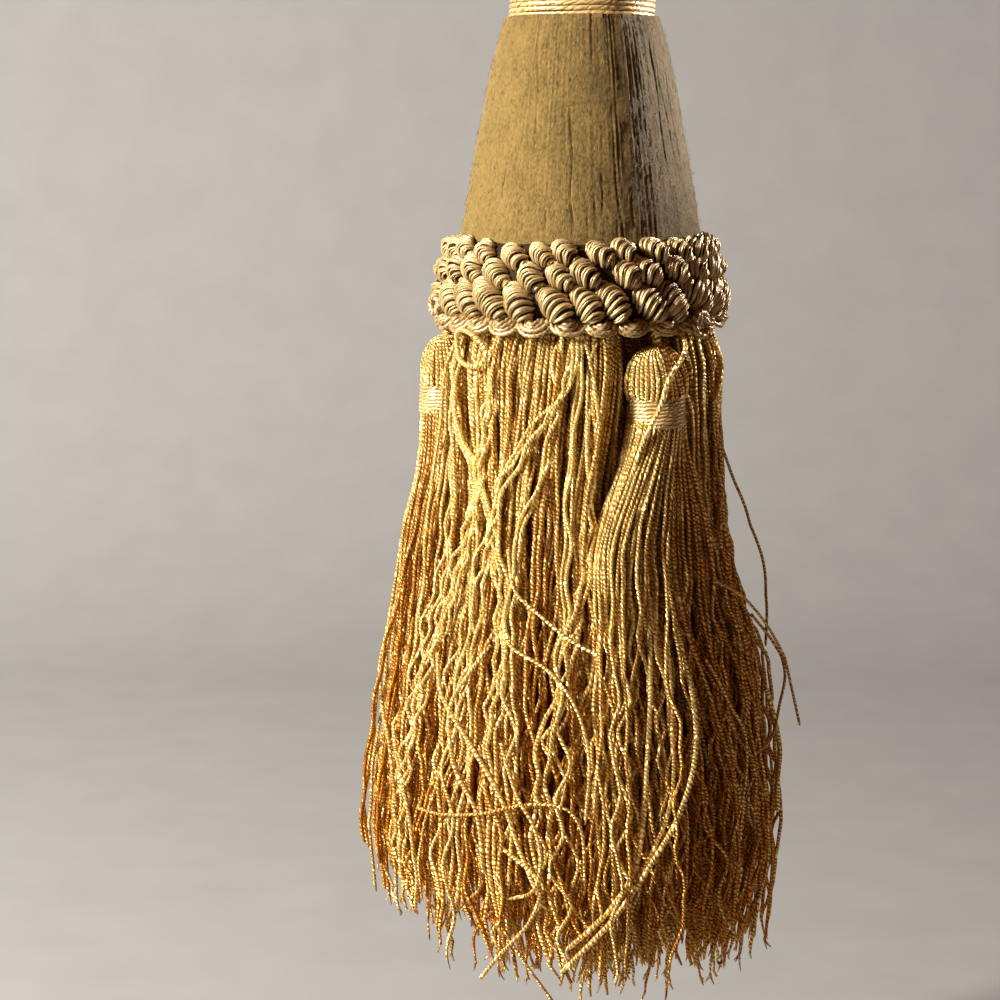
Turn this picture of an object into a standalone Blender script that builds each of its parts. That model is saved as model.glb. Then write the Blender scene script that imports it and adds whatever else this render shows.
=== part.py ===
"""A curtain tieback tassel, as it hangs from the rope that goes into the hole in its cap.

A yarn-wound cap and head with a binding between them, a collar of twisted cords with a scalloped edge,
a skirt of hanging locks, and three small bound tassels that hang from the collar over the skirt.
Metres, +Z up. The origin is the middle of the rope hole's mouth, so all heights below it are negative.
The front is -Y. Angles go round +Z from +X.
"""

import math
import random
from collections import namedtuple

import bmesh
import bpy
from mathutils import Vector

GAP = 0.0003  # between two pieces that touch
CUT_IN = 0.002  # how deep a root runs into its backing

# Cap, binding and head, from the top down
CAP_HEIGHT = 0.0170
CAP_RADIUS = 0.0155
CAP_LIP = 0.0030  # radius of the rounding at the mouth
HOLE_RADIUS = 0.0063
NECK_RADIUS = 0.0143
BINDING_ROUNDS = 4
BINDING_YARN = 0.0013  # thickness of one round
HEAD_TOP_RADIUS = 0.0167
HEAD_FOOT_RADIUS = 0.0264
HEAD_HEIGHT = 0.0466  # what shows between the binding and the collar
HEAD_SWELL = 0.8  # under 1 bulges the cone's side
HEAD_TUCK = 0.0060  # what the collar hides

# Collar: diagonal twisted cords over a band, pinched in rows
COLLAR_CORDS = 27
COLLAR_ROWS = 4
COLLAR_TURN = math.radians(34)  # how far a cord goes round on its way down
COLLAR_STEEPEN = 0.30  # how much steeper a cord ends
COLLAR_RIB = 0.0017
COLLAR_PINCH = 0.0009
COLLAR_SKIRT_CLEARANCE = 0.0291  # inner radius of its lower half
CollarRow = namedtuple("CollarRow", "drop radius")
COLLAR_FACE = (
    CollarRow(drop=0.0000, radius=0.0272),
    CollarRow(drop=0.0007, radius=0.0288),
    CollarRow(drop=0.0024, radius=0.0301),
    CollarRow(drop=0.0060, radius=0.0312),
    CollarRow(drop=0.0110, radius=0.0320),
    CollarRow(drop=0.0144, radius=0.0318),
    CollarRow(drop=0.0162, radius=0.0308),
    CollarRow(drop=0.0168, radius=0.0298),
)
COLLAR_FACE_STEPS = 10
COLLAR_STEPS_PER_CORD = 4

# Scalloped cord sewn along the collar's lower edge
SCALLOP_RADIUS = 0.0313
SCALLOP_YARN = 0.0010  # radius of the cord
SCALLOP_DROP = 0.0010
SCALLOP_STEPS = 3

# Skirt
BACKING_THICKNESS = 0.0078
SkirtRow = namedtuple("SkirtRow", "drop left right")
SKIRT_OUTLINE = (  # outer radius on the left and right side, below the backing
    SkirtRow(drop=0.0000, left=0.0285, right=0.0285),
    SkirtRow(drop=0.0065, left=0.0292, right=0.0292),
    SkirtRow(drop=0.0130, left=0.0314, right=0.0312),
    SkirtRow(drop=0.0300, left=0.0330, right=0.0316),
    SkirtRow(drop=0.0500, left=0.0362, right=0.0330),
    SkirtRow(drop=0.0660, left=0.0392, right=0.0370),
    SkirtRow(drop=0.0800, left=0.0416, right=0.0422),
    SkirtRow(drop=0.1000, left=0.0442, right=0.0446),
    SkirtRow(drop=0.1180, left=0.0464, right=0.0460),
    SkirtRow(drop=0.1310, left=0.0446, right=0.0444),
    SkirtRow(drop=0.1500, left=0.0425, right=0.0425),
)
HEM_DROP = 0.1380  # mean length of the locks below the backing
HEM_SLANT = 0.0062  # longer towards the front right
HEM_SLANT_ANGLE = math.radians(-30)
HEM_UNEVEN = 0.0034
SWAY_WAVES = (3, 5)  # slow waves of the locks round the skirt
SWAY_SIZES = (0.055, 0.030)  # radians
Lean = namedtuple("Lean", "angle width turn")
LEANS = (  # where neighbouring locks hang to one side, in degrees; the first two draw a parting together
    Lean(angle=-141, width=20, turn=5.0),
    Lean(angle=-106, width=20, turn=-3.0),
    Lean(angle=-70, width=24, turn=-6.5),
)
LEAN_DROP = 0.0520  # below the backing, where a lean is full
LockRing = namedtuple("LockRing", "share count steps thickness sides")
LOCK_RINGS = (  # share is of the outer radius
    LockRing(share=0.955, count=60, steps=7, thickness=0.00235, sides=3),
    LockRing(share=0.815, count=52, steps=5, thickness=0.00235, sides=3),
    LockRing(share=0.675, count=42, steps=4, thickness=0.00250, sides=3),
    LockRing(share=0.530, count=32, steps=3, thickness=0.00260, sides=3),
    LockRing(share=0.380, count=22, steps=3, thickness=0.00280, sides=3),
    LockRing(share=0.220, count=12, steps=3, thickness=0.00300, sides=3),
    LockRing(share=0.080, count=4, steps=3, thickness=0.00300, sides=3),
)
WANDER_TURN = 0.010  # radians, at most, from its neighbours' line
WANDER_OUT = 0.013  # share of the outer radius
WANDER_DROP = 0.0400  # below the backing, where it is fully free
OPEN_RINGS = 2  # the outer rings, parted where a small tassel hangs
LOCK_SPREAD = 1.25  # a lock at the hem, over the same lock at its root

# Small tassels
SMALL_ANGLES = {"right": math.radians(-59), "left": math.radians(181), "back": math.radians(61)}
SMALL_OFFSET = 0.0296  # from the tassel's axis
SMALL_TOP = 0.0072  # below the backing
BULB_HEIGHT = 0.0112
BulbRow = namedtuple("BulbRow", "share radius")
BULB = (  # share of the height, from the top down
    BulbRow(share=0.00, radius=0.0014),
    BulbRow(share=0.05, radius=0.0029),
    BulbRow(share=0.17, radius=0.0045),
    BulbRow(share=0.36, radius=0.0057),
    BulbRow(share=0.60, radius=0.0064),
    BulbRow(share=0.82, radius=0.0065),
    BulbRow(share=0.98, radius=0.0060),
)
SMALL_NECK_RADIUS = 0.0046
SMALL_BINDING_HEIGHT = 0.0064
SMALL_BINDING_ROUNDS = 4
SMALL_BINDING_YARN = 0.0014
STEM_RADIUS = 0.0011
PARTING = math.radians(15.5)  # half the sector that a small tassel keeps free
SMALL_ROWS = (1.00, 0.885, 0.775)  # where its locks end, as shares of the outer radius
SMALL_COLUMNS = 5
SMALL_FAN = math.radians(11.0)
SMALL_LOCK = 0.00215
SMALL_ROOT = 0.60  # a lock's width where it leaves the neck, over its width lower down
SMALL_SHORTER = 0.0080  # than the skirt
SMALL_ROOT_SPREAD = 0.64  # of the neck's radius, where the outermost locks leave it
SMALL_LOCK_STEPS = 5
SMALL_FAN_DROP = 0.0420  # below its binding, where the fan is open

ROUND_STEPS = 32
SMALL_STEPS = 12

# Heights of the seams
BINDING_HEIGHT = BINDING_ROUNDS * BINDING_YARN
CAP_FOOT = -CAP_HEIGHT
NECK_TOP = CAP_FOOT - GAP
BINDING_TOP = NECK_TOP - GAP
BINDING_FOOT = BINDING_TOP - BINDING_HEIGHT
CONE_TOP = BINDING_FOOT - GAP
COLLAR_TOP = CONE_TOP - HEAD_HEIGHT
HEAD_FOOT = COLLAR_TOP - HEAD_TUCK
COLLAR_FOOT = COLLAR_TOP - COLLAR_FACE[-1].drop
BACKING_TOP = HEAD_FOOT - GAP
BACKING_FOOT = BACKING_TOP - BACKING_THICKNESS
SCALLOP_HEIGHT = COLLAR_FOOT - GAP - SCALLOP_YARN


def clear_scene():
    for thing in list(bpy.data.objects):
        bpy.data.objects.remove(thing)


def new_collection(name):
    made = bpy.data.collections.new(name)
    bpy.context.scene.collection.children.link(made)
    return made


def fabric(name, colour, roughness):
    made = bpy.data.materials.new(name)
    made.use_nodes = True
    shader = made.node_tree.nodes["Principled BSDF"]
    shader.inputs["Base Color"].default_value = (*colour, 1)
    shader.inputs["Roughness"].default_value = roughness
    shader.inputs["Metallic"].default_value = 0
    return made


def evaluated_mesh(thing):
    bpy.context.view_layer.update()
    graph = bpy.context.evaluated_depsgraph_get()
    return bpy.data.meshes.new_from_object(thing.evaluated_get(graph))


def polar(radius, angle, height):
    return Vector((radius * math.cos(angle), radius * math.sin(angle), height))


def turned(name, profile, steps, place=(0, 0, 0), closed=False):
    """A shape turned round +Z from a profile of (radius, height), which runs down its outer side."""
    mesh = bpy.data.meshes.new(name)
    edges = [(i, i + 1) for i in range(len(profile) - 1)]
    if closed:
        edges.append((len(profile) - 1, 0))
    mesh.from_pydata([(radius, 0, height) for radius, height in profile], edges, [])
    thing = bpy.data.objects.new(name, mesh)
    bpy.context.scene.collection.objects.link(thing)
    thing.location = place
    screw = thing.modifiers.new("Turn", "SCREW")
    screw.steps = screw.render_steps = steps
    screw.use_merge_vertices = True
    screw.merge_threshold = 0.00001
    return thing


def arc(centre, radius, start, end, steps):
    """Points of (radius, height) on an arc, angles in degrees from the outward direction."""
    turns = [math.radians(start + (end - start) * i / steps) for i in range(steps + 1)]
    return [(centre[0] + radius * math.cos(t), centre[1] + radius * math.sin(t)) for t in turns]


def blend_rows(rows, drop, column):
    """The value of a column at a drop, smooth between the table's rows."""
    for upper, lower in zip(rows, rows[1:]):
        if drop <= lower.drop:
            share = max(0.0, (drop - upper.drop) / (lower.drop - upper.drop))
            ease = share * share * (3 - 2 * share)
            mix = (share + ease) / 2
            return getattr(upper, column) * (1 - mix) + getattr(lower, column) * mix
    return getattr(rows[-1], column)


def round_yarns(inner, yarn, rounds):
    """A closed profile whose outer side bulges once for each round of yarn."""
    outer = inner + yarn * 0.6
    profile = [(inner, 0)]
    for i in range(rounds):
        profile += arc((outer, -yarn * (i + 0.5)), yarn / 2, 68, -68, 2)
    return profile + [(inner, -yarn * rounds)]


def make_cap():
    waist = CAP_RADIUS * 1.03
    crown = HOLE_RADIUS + CAP_LIP
    profile = arc((crown, -CAP_LIP), CAP_LIP, 180, 75, 5)
    profile += [(crown + 0.0030, -0.0011), (waist - 0.0022, -0.0034), (waist - 0.0006, -0.0064)]
    profile += [(waist, -0.0100), (CAP_RADIUS, 0.0022 - CAP_HEIGHT), (CAP_RADIUS - 0.0011, -CAP_HEIGHT)]
    profile += [(HOLE_RADIUS, -CAP_HEIGHT)]
    return turned("cap", profile, ROUND_STEPS, closed=True)


def make_head():
    cone_top = CONE_TOP - NECK_TOP
    foot = HEAD_FOOT - NECK_TOP
    profile = [(0, 0), (NECK_RADIUS, 0), (NECK_RADIUS, cone_top)]
    rows = 9
    for i in range(rows + 1):
        share = i / rows
        swell = (HEAD_FOOT_RADIUS - HEAD_TOP_RADIUS) * share**HEAD_SWELL
        profile.append((HEAD_TOP_RADIUS + swell, cone_top - HEAD_HEIGHT * share))
    profile += [(HEAD_FOOT_RADIUS, foot + 0.0012), (HEAD_FOOT_RADIUS - 0.0012, foot), (0, foot)]
    return turned("head", profile, ROUND_STEPS, (0, 0, NECK_TOP))


def make_binding():
    profile = round_yarns(NECK_RADIUS + GAP, BINDING_YARN, BINDING_ROUNDS)
    return turned("neck_binding", profile, ROUND_STEPS, (0, 0, BINDING_TOP), closed=True)


def raised_cord(angle, share):
    """How far the collar's face stands out: diagonal cords, each pinched in between rows."""
    turn = angle - COLLAR_TURN * share * (1 + COLLAR_STEEPEN * (1 - share))
    rib = abs(math.cos(COLLAR_CORDS * turn / 2)) ** 0.8 - 0.5
    pinch = abs(math.sin(math.pi * COLLAR_ROWS * share)) ** 0.6 - 0.6
    fade = min(1, share / 0.1, (1 - share) / 0.1)
    return fade * (COLLAR_RIB * rib + COLLAR_PINCH * pinch)


def make_collar():
    face_height = COLLAR_FACE[-1].drop
    step = HEAD_FOOT - GAP / 2 - COLLAR_TOP
    upper = HEAD_FOOT_RADIUS + GAP
    drops = [face_height * i / COLLAR_FACE_STEPS for i in range(COLLAR_FACE_STEPS + 1)]
    profile = [(blend_rows(COLLAR_FACE, drop, "radius"), -drop) for drop in drops]
    profile += [(COLLAR_SKIRT_CLEARANCE, -face_height), (COLLAR_SKIRT_CLEARANCE, step)]
    profile += [(upper, step), (upper, 0)]
    collar = turned("collar", profile, COLLAR_CORDS * COLLAR_STEPS_PER_CORD, (0, 0, COLLAR_TOP), closed=True)
    collar.data = evaluated_mesh(collar)
    collar.modifiers.clear()
    for vertex in collar.data.vertices:
        place = vertex.co
        radius = math.hypot(place.x, place.y)
        share = -place.z / face_height
        on_face = radius > blend_rows(COLLAR_FACE, -place.z, "radius") - GAP
        if on_face and 0.02 < share < 0.98:
            raised = radius + raised_cord(math.atan2(place.y, place.x), share)
            place.xy = place.xy * (raised / radius)
    collar.data.shade_smooth()
    return collar


def tube_mesh(name, routes, radii, sides, cyclic=False):
    """Tubes along routes of points, with their caps welded, as one mesh object."""
    curve = bpy.data.curves.new(name, "CURVE")
    curve.dimensions = "3D"
    curve.use_fill_caps = not cyclic
    if sides == 3:
        rim = bpy.data.curves.new(name + "_rim", "CURVE")
        corners = rim.splines.new("POLY")
        corners.points.add(2)
        corners.use_cyclic_u = True
        for i, corner in enumerate(corners.points):
            turn = math.tau * i / 3
            corner.co = (math.cos(turn), math.sin(turn), 0, 1)
        curve.bevel_mode = "OBJECT"
        curve.bevel_object = bpy.data.objects.new(name + "_rim", rim)
    else:
        curve.bevel_depth = 1
        curve.bevel_resolution = (sides - 4) // 2
    for route, widths in zip(routes, radii):
        spline = curve.splines.new("POLY")
        spline.points.add(len(route) - 1)
        spline.use_cyclic_u = cyclic
        for point, place, width in zip(spline.points, route, widths):
            point.co = (*place, 1)
            point.radius = width
    guide = bpy.data.objects.new(name + "_line", curve)
    bpy.context.scene.collection.objects.link(guide)
    mesh = evaluated_mesh(guide)
    bpy.data.objects.remove(guide)
    if sides == 3:
        bpy.data.objects.remove(curve.bevel_object)
    shaped = bmesh.new()
    shaped.from_mesh(mesh)
    bmesh.ops.remove_doubles(shaped, verts=shaped.verts, dist=0.00002)
    bmesh.ops.recalc_face_normals(shaped, faces=shaped.faces)
    shaped.to_mesh(mesh)
    shaped.free()
    thing = bpy.data.objects.new(name, mesh)
    bpy.context.scene.collection.objects.link(thing)
    return thing


def make_scallops():
    steps = COLLAR_CORDS * SCALLOP_STEPS
    route = []
    for i in range(steps):
        angle = math.tau * i / steps
        sag = SCALLOP_DROP * abs(math.sin(COLLAR_CORDS * angle / 2))
        route.append(polar(SCALLOP_RADIUS, angle, -sag))
    edge = tube_mesh("scallop_edge", [route], [[SCALLOP_YARN] * steps], 6, cyclic=True)
    edge.location.z = SCALLOP_HEIGHT
    return edge


def outer_radius(angle, drop):
    """The skirt's outline, which differs between its left and right side."""
    right = (1 + math.cos(angle)) / 2
    left_radius = blend_rows(SKIRT_OUTLINE, drop, "left")
    return left_radius + (blend_rows(SKIRT_OUTLINE, drop, "right") - left_radius) * right


def leaned(angle, drop):
    """How far the locks there lean round the skirt."""
    turn = 0
    for lean in LEANS:
        away = math.degrees((angle - math.radians(lean.angle) + math.pi) % math.tau - math.pi)
        turn += lean.turn * math.exp(-((away / lean.width) ** 2))
    rise = max(0, min(1, drop / LEAN_DROP))
    return math.radians(turn) * rise * rise * (3 - 2 * rise)


def swayed(angle, drop):
    """Neighbouring locks sway and lean together, so that none runs through another."""
    angle += leaned(angle, drop)
    reach = max(0, min(1, drop / HEM_DROP)) ** 1.5
    first = SWAY_SIZES[0] * math.sin(SWAY_WAVES[0] * angle + 14 * drop)
    second = SWAY_SIZES[1] * math.sin(SWAY_WAVES[1] * angle - 41 * drop + 1)
    return angle + reach * (first + second)


def hem_drop(angle):
    return HEM_DROP + HEM_SLANT * math.cos(angle - HEM_SLANT_ANGLE)


def skirt_point(angle, share, drop):
    turned_angle = swayed(angle, drop)
    return polar(share * outer_radius(turned_angle, drop), turned_angle, BACKING_FOOT - drop)


def lock_route(angle, share, length, steps, chance):
    """A lock from inside the backing down to the hem, which wanders a little by itself on its way."""
    drops = [-CUT_IN] + [length * (i / steps) ** 0.9 for i in range(1, steps + 1)]
    route = []
    for drop in drops:
        free = max(0, min(1, drop / WANDER_DROP))
        turn = chance.uniform(-WANDER_TURN, WANDER_TURN) * free
        out = chance.uniform(-WANDER_OUT, WANDER_OUT) * free
        route.append(skirt_point(angle + turn, share + out, drop))
    return route


def lock_widths(thickness, steps):
    """Half the thickness at each point: wider towards the hem, and drawn in at the tip."""
    widths = [thickness / 2 * (1 + (LOCK_SPREAD - 1) * i / steps) for i in range(steps + 1)]
    widths[-1] *= 0.7
    return widths


def parted(angle, slack=0.0):
    """True where a small tassel hangs."""
    for middle in SMALL_ANGLES.values():
        away = (angle - middle + math.pi) % math.tau - math.pi
        if abs(away) < PARTING + slack:
            return True
    return False


def union(base, others, helpers):
    for other in others:
        helpers.objects.link(other)
        bpy.context.scene.collection.objects.unlink(other)
        other.hide_render = True
        other.display_type = "WIRE"
        join = base.modifiers.new("Join", "BOOLEAN")
        join.operation = "UNION"
        join.solver = "EXACT"
        join.object = other


def make_skirt(helpers):
    """The backing, a disc inside the collar, and rings of locks that hang from it."""
    chance = random.Random(7)
    edge = COLLAR_SKIRT_CLEARANCE - GAP
    profile = [(0, 0), (edge, 0), (edge, -BACKING_THICKNESS), (0, -BACKING_THICKNESS)]
    backing = turned("skirt", profile, ROUND_STEPS, (0, 0, BACKING_TOP))
    locks = []
    for number, ring in enumerate(LOCK_RINGS):
        routes, widths = [], []
        for i in range(ring.count):
            angle = math.tau * (i + 0.5 * (number % 2)) / ring.count
            length = hem_drop(angle) + chance.uniform(-HEM_UNEVEN, HEM_UNEVEN)
            if number < OPEN_RINGS and parted(angle):
                continue
            routes.append(lock_route(angle, ring.share, length, ring.steps, chance))
            widths.append(lock_widths(ring.thickness, ring.steps))
        locks.append(tube_mesh(f"locks_{number}", routes, widths, ring.sides))
    union(backing, locks, helpers)
    return backing


def small_centre(angle, drop):
    return polar(SMALL_OFFSET, angle, BACKING_FOOT - drop)


def bulb_profile():
    """The folded threads' bulb and the neck that the binding draws in, from the top down."""
    neck_foot = -BULB_HEIGHT - SMALL_BINDING_HEIGHT - 0.0010
    profile = [(0, 0)]
    profile += [(row.radius, -BULB_HEIGHT * row.share) for row in BULB]
    profile += [(SMALL_NECK_RADIUS, -BULB_HEIGHT), (SMALL_NECK_RADIUS, neck_foot), (0, neck_foot)]
    return profile


def small_lock_route(angle, row, across, length):
    """A lock from inside the neck, fanned out below the binding until it lies in the skirt's parting."""
    neck_drop = SMALL_TOP + BULB_HEIGHT + SMALL_BINDING_HEIGHT
    outward = polar(1, angle, 0)
    sideways = Vector((-outward.y, outward.x, 0))
    root = small_centre(angle, neck_drop)
    root += outward * (SMALL_NECK_RADIUS * SMALL_ROOT_SPREAD * (1 - row))
    root += sideways * (SMALL_NECK_RADIUS * SMALL_ROOT_SPREAD * across)
    route = [root]
    for i in range(1, SMALL_LOCK_STEPS + 1):
        drop = neck_drop + (length - neck_drop) * (i / SMALL_LOCK_STEPS)
        opened = min(1, (drop - neck_drop) / SMALL_FAN_DROP)
        opened = opened * opened * (3 - 2 * opened)
        target = skirt_point(angle + SMALL_FAN * across, SMALL_ROWS[row], drop)
        route.append(Vector((root.x, root.y, BACKING_FOOT - drop)).lerp(target, opened))
    return route


def small_locks(side, angle):
    chance = random.Random(len(side))
    routes, widths = [], []
    for row in range(len(SMALL_ROWS)):
        for column in range(SMALL_COLUMNS):
            across = 2 * column / (SMALL_COLUMNS - 1) - 1
            length = hem_drop(angle) - SMALL_SHORTER + chance.uniform(-HEM_UNEVEN, HEM_UNEVEN)
            routes.append(small_lock_route(angle, row, across, length))
            slim = lock_widths(SMALL_LOCK, SMALL_LOCK_STEPS)
            widths.append([slim[0] * SMALL_ROOT, slim[1] * (1 + SMALL_ROOT) / 2] + slim[2:])
    return tube_mesh(f"small_locks_{side}", routes, widths, 3)


def small_stem(side, angle):
    """The yarn that carries a small tassel, bent out from under the skirt's backing into the bulb."""
    inner = COLLAR_SKIRT_CLEARANCE - 2 * STEM_RADIUS
    route = [
        polar(inner, angle, BACKING_FOOT - GAP),
        polar(inner, angle, BACKING_FOOT - SMALL_TOP / 2),
        small_centre(angle, SMALL_TOP + CUT_IN),
    ]
    return tube_mesh(f"stem_{side}", [route], [[STEM_RADIUS] * 3], 6)


def make_small_tassel(side, angle, helpers):
    """A bulb on a stem, with a fan of locks that hangs from its neck."""
    bulb = turned(f"small_tassel_{side}", bulb_profile(), SMALL_STEPS, small_centre(angle, SMALL_TOP))
    union(bulb, [small_locks(side, angle), small_stem(side, angle)], helpers)
    return bulb


def make_small_binding(side, angle):
    profile = round_yarns(SMALL_NECK_RADIUS + GAP, SMALL_BINDING_YARN, SMALL_BINDING_ROUNDS)
    top = small_centre(angle, SMALL_TOP + BULB_HEIGHT + GAP)
    return turned(f"small_binding_{side}", profile, SMALL_STEPS, top, closed=True)


def finish(thing, material, parts, hanging_point):
    thing.data.materials.clear()
    thing.data.materials.append(material)
    bpy.context.scene.collection.objects.unlink(thing)
    parts.objects.link(thing)
    thing.parent = hanging_point


def main():
    clear_scene()
    parts = new_collection("tieback_tassel")
    helpers = new_collection("joined_pieces")
    hanging_point = bpy.data.objects.new("hanging_point", None)
    parts.objects.link(hanging_point)
    cap_yarn = fabric("cap_yarn", (0.52, 0.36, 0.16), 0.60)
    head_yarn = fabric("head_yarn", (0.50, 0.35, 0.16), 0.62)
    binding_yarn = fabric("binding_yarn", (0.62, 0.42, 0.16), 0.38)
    collar_cord = fabric("collar_cord", (0.55, 0.39, 0.18), 0.46)
    skirt_thread = fabric("skirt_thread", (0.58, 0.34, 0.10), 0.40)
    finish(make_cap(), cap_yarn, parts, hanging_point)
    finish(make_head(), head_yarn, parts, hanging_point)
    finish(make_binding(), binding_yarn, parts, hanging_point)
    finish(make_collar(), collar_cord, parts, hanging_point)
    finish(make_scallops(), collar_cord, parts, hanging_point)
    finish(make_skirt(helpers), skirt_thread, parts, hanging_point)
    for side, angle in SMALL_ANGLES.items():
        finish(make_small_tassel(side, angle, helpers), skirt_thread, parts, hanging_point)
        finish(make_small_binding(side, angle), binding_yarn, parts, hanging_point)


main()
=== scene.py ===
"""Dresses a curtain tieback tassel: wound cap and head, corded collar, small tassels and a skirt of thread.

It is laid out as an add-on. Each operator makes one piece, or one group of like pieces, over the solids
that the frame loads. Metres, +Z up, but for the tables in millimetres. An azimuth is in degrees from the
front (-Y), positive to the right. A drop is in millimetres below the underside of the skirt's backing, or
below the collar's top where it is the collar's.
"""

import math
from collections import namedtuple

import bpy
import numpy as np
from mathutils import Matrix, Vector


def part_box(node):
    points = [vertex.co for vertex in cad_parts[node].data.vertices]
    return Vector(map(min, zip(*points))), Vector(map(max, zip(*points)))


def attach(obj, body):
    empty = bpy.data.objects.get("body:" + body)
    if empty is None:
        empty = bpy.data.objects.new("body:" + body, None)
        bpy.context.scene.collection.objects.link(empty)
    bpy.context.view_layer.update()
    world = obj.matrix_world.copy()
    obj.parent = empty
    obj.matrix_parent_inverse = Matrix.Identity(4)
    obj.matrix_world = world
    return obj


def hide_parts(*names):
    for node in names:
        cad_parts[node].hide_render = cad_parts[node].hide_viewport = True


bl_info = {
    "name": "Tieback Tassel",
    "version": (1, 0, 0),
    "blender": (4, 5, 0),
    "location": "View3D > Sidebar > Tassel",
    "description": "Makes the yarn, cords and threads of a curtain tieback tassel",
    "category": "Object",
}

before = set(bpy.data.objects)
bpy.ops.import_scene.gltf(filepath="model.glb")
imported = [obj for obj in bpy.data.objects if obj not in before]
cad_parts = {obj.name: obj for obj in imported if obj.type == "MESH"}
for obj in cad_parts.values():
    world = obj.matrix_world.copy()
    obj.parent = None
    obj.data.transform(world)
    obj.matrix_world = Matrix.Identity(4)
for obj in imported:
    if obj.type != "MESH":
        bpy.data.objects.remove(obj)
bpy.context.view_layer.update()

# Seams, as the solids have them
CAP_LOW, CAP_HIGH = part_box("cap")
BINDING_LOW, BINDING_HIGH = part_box("neck_binding")
HEAD_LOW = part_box("head")[0]
COLLAR_LOW, COLLAR_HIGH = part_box("collar")
GAP = 0.0003
CONE_TOP = BINDING_LOW.z - GAP
COLLAR_TOP = COLLAR_HIGH.z
COLLAR_FOOT = COLLAR_LOW.z
BACKING_THICKNESS = 0.0078
BACKING_TOP = HEAD_LOW.z - GAP
BACKING_FOOT = BACKING_TOP - BACKING_THICKNESS

MM = 0.001
HEAD_TOP_RADIUS = 0.0167
HEAD_FOOT_RADIUS = 0.0264
HEAD_SWELL = 0.8
HOLE_RADIUS = 0.0063

COLLAR_FACE = (  # drop and radius, in millimetres
    (0.0, 28.0), (0.7, 28.9), (2.4, 30.1), (6.0, 31.2),
    (11.0, 32.0), (14.4, 31.9), (16.2, 31.2), (17.4, 30.4),
)
SKIRT_OUTLINE = (  # drop, and the outer radius at the left and the right, in millimetres
    (-3, 28.4, 28.4), (0, 28.6, 28.6), (6.5, 29.6, 29.6), (13, 31.4, 31.2),
    (30, 33.0, 31.8), (50, 36.2, 33.2), (66, 39.2, 37.2), (80, 41.6, 42.2),
    (100, 44.2, 44.6), (118, 46.4, 46.0), (131, 45.0, 44.6), (152, 43.0, 42.5),
)
BULB = (  # share of the height, from the top down, and radius in millimetres
    (0.00, 1.0), (0.05, 2.9), (0.17, 4.5), (0.36, 5.7), (0.60, 6.4), (0.82, 6.5), (1.00, 5.9),
)
BULB_HEIGHT = 0.0112
SMALL_OFFSET = 0.0296  # from the tassel's axis
SmallTassel = namedtuple("SmallTassel", "side azimuth lean fan proud seed")
SMALL_TASSELS = (  # proud is how far the fall stands out, as a share of the skirt's radius
    SmallTassel("right", 31, -5.5, 21.0, 0.115, seed=3),
    SmallTassel("left", -89, 2.0, 15.0, 0.045, seed=5),
    SmallTassel("back", 151, 0.0, 14.0, 0.08, seed=8),
)
Lean = namedtuple("Lean", "azimuth width turn")
LEANS = (  # where the threads lean round the skirt, in degrees
    Lean(-52, 19, 9.0), Lean(-15, 19, -6.0), Lean(14, 13, -8.0),
    Lean(62, 18, 4.0), Lean(120, 22, -5.0), Lean(-150, 24, 6.0),
)
SEEDS = {"head": 4, "cap": 9, "collar": 21, "scallops": 17, "locks": 33}
HEM_DROP = 138.0
HEM_SLANT = 6.2  # longer towards the slant's azimuth
HEM_SLANT_AZIMUTH = 60
YARN_TURNS = np.radians([0, 28, 150, 210, 332])  # corners round one yarn of the cap, closer in front


# ---------------------------------------------------------------- settings


def length_property(name, description, default):
    return bpy.props.FloatProperty(
        name=name, description=description, default=default, unit="LENGTH", precision=5
    )


def count_property(name, description, default, least=0):
    return bpy.props.IntProperty(name=name, description=description, default=default, min=least)


def number_property(name, description, default, unit="NONE"):
    return bpy.props.FloatProperty(name=name, description=description, default=default, unit=unit)


def colour_property(name, description, default):
    return bpy.props.FloatVectorProperty(
        name=name, description=description, default=default, subtype="COLOR", size=3, min=0, max=1
    )


class TasselHeadSettings(bpy.types.PropertyGroup):
    yarns: count_property("Yarns", "Turns of yarn laid side by side", 330, 60)
    cap_yarns: count_property("Cap yarns", "Turns of yarn over the cap", 170, 40)
    rounds: count_property("Rounds", "Rounds of yarn on the neck", 5, 2)
    cracks: count_property("Cracks", "Cracks at the head's sides and back", 22)
    hairs: count_property("Hairs", "Fine hairs that stand off the head", 1500)
    pale: colour_property("Pale yarn", "Where the light catches the winding", (0.188, 0.125, 0.033))
    deep: colour_property("Deep yarn", "Between the yarns", (0.064, 0.038, 0.010))
    bright: colour_property("Binding yarn", "The brighter yarn round the neck", (0.62, 0.44, 0.20))


class TasselCollarSettings(bpy.types.PropertyGroup):
    cords: count_property("Cords", "Slanting cords round the collar", 27, 8)
    turn: number_property("Slant", "How far round a cord runs, in degrees", 31)
    cord_radius: length_property("Cord radius", "Half the thickness of a cord", 0.00272)
    ply: length_property("Ply", "Thickness of the yarn wrapped round a cord", 0.00108)
    pale: colour_property("Pale cord", "Crests of the plies", (0.54, 0.405, 0.195))
    deep: colour_property("Deep cord", "Grooves between the plies", (0.10, 0.040, 0.008))


class TasselSkirtSettings(bpy.types.PropertyGroup):
    layers: count_property("Layers", "Layers of thread under one another", 6, 1)
    threads: count_property("Threads", "Threads in the outer layer", 150, 20)
    thread_radius: length_property("Thread radius", "Half the thickness of a thread", 0.00042)
    bead: length_property("Bead", "Length of one turn of a ply, seen from the side", 0.00100)
    seed: count_property("Seed", "Another number lays the threads another way", 11)
    pale: colour_property("Pale thread", "Crests of the twist", (1.0, 0.80, 0.33))
    deep: colour_property("Deep thread", "Grooves of the twist", (0.52, 0.20, 0.018))


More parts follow.
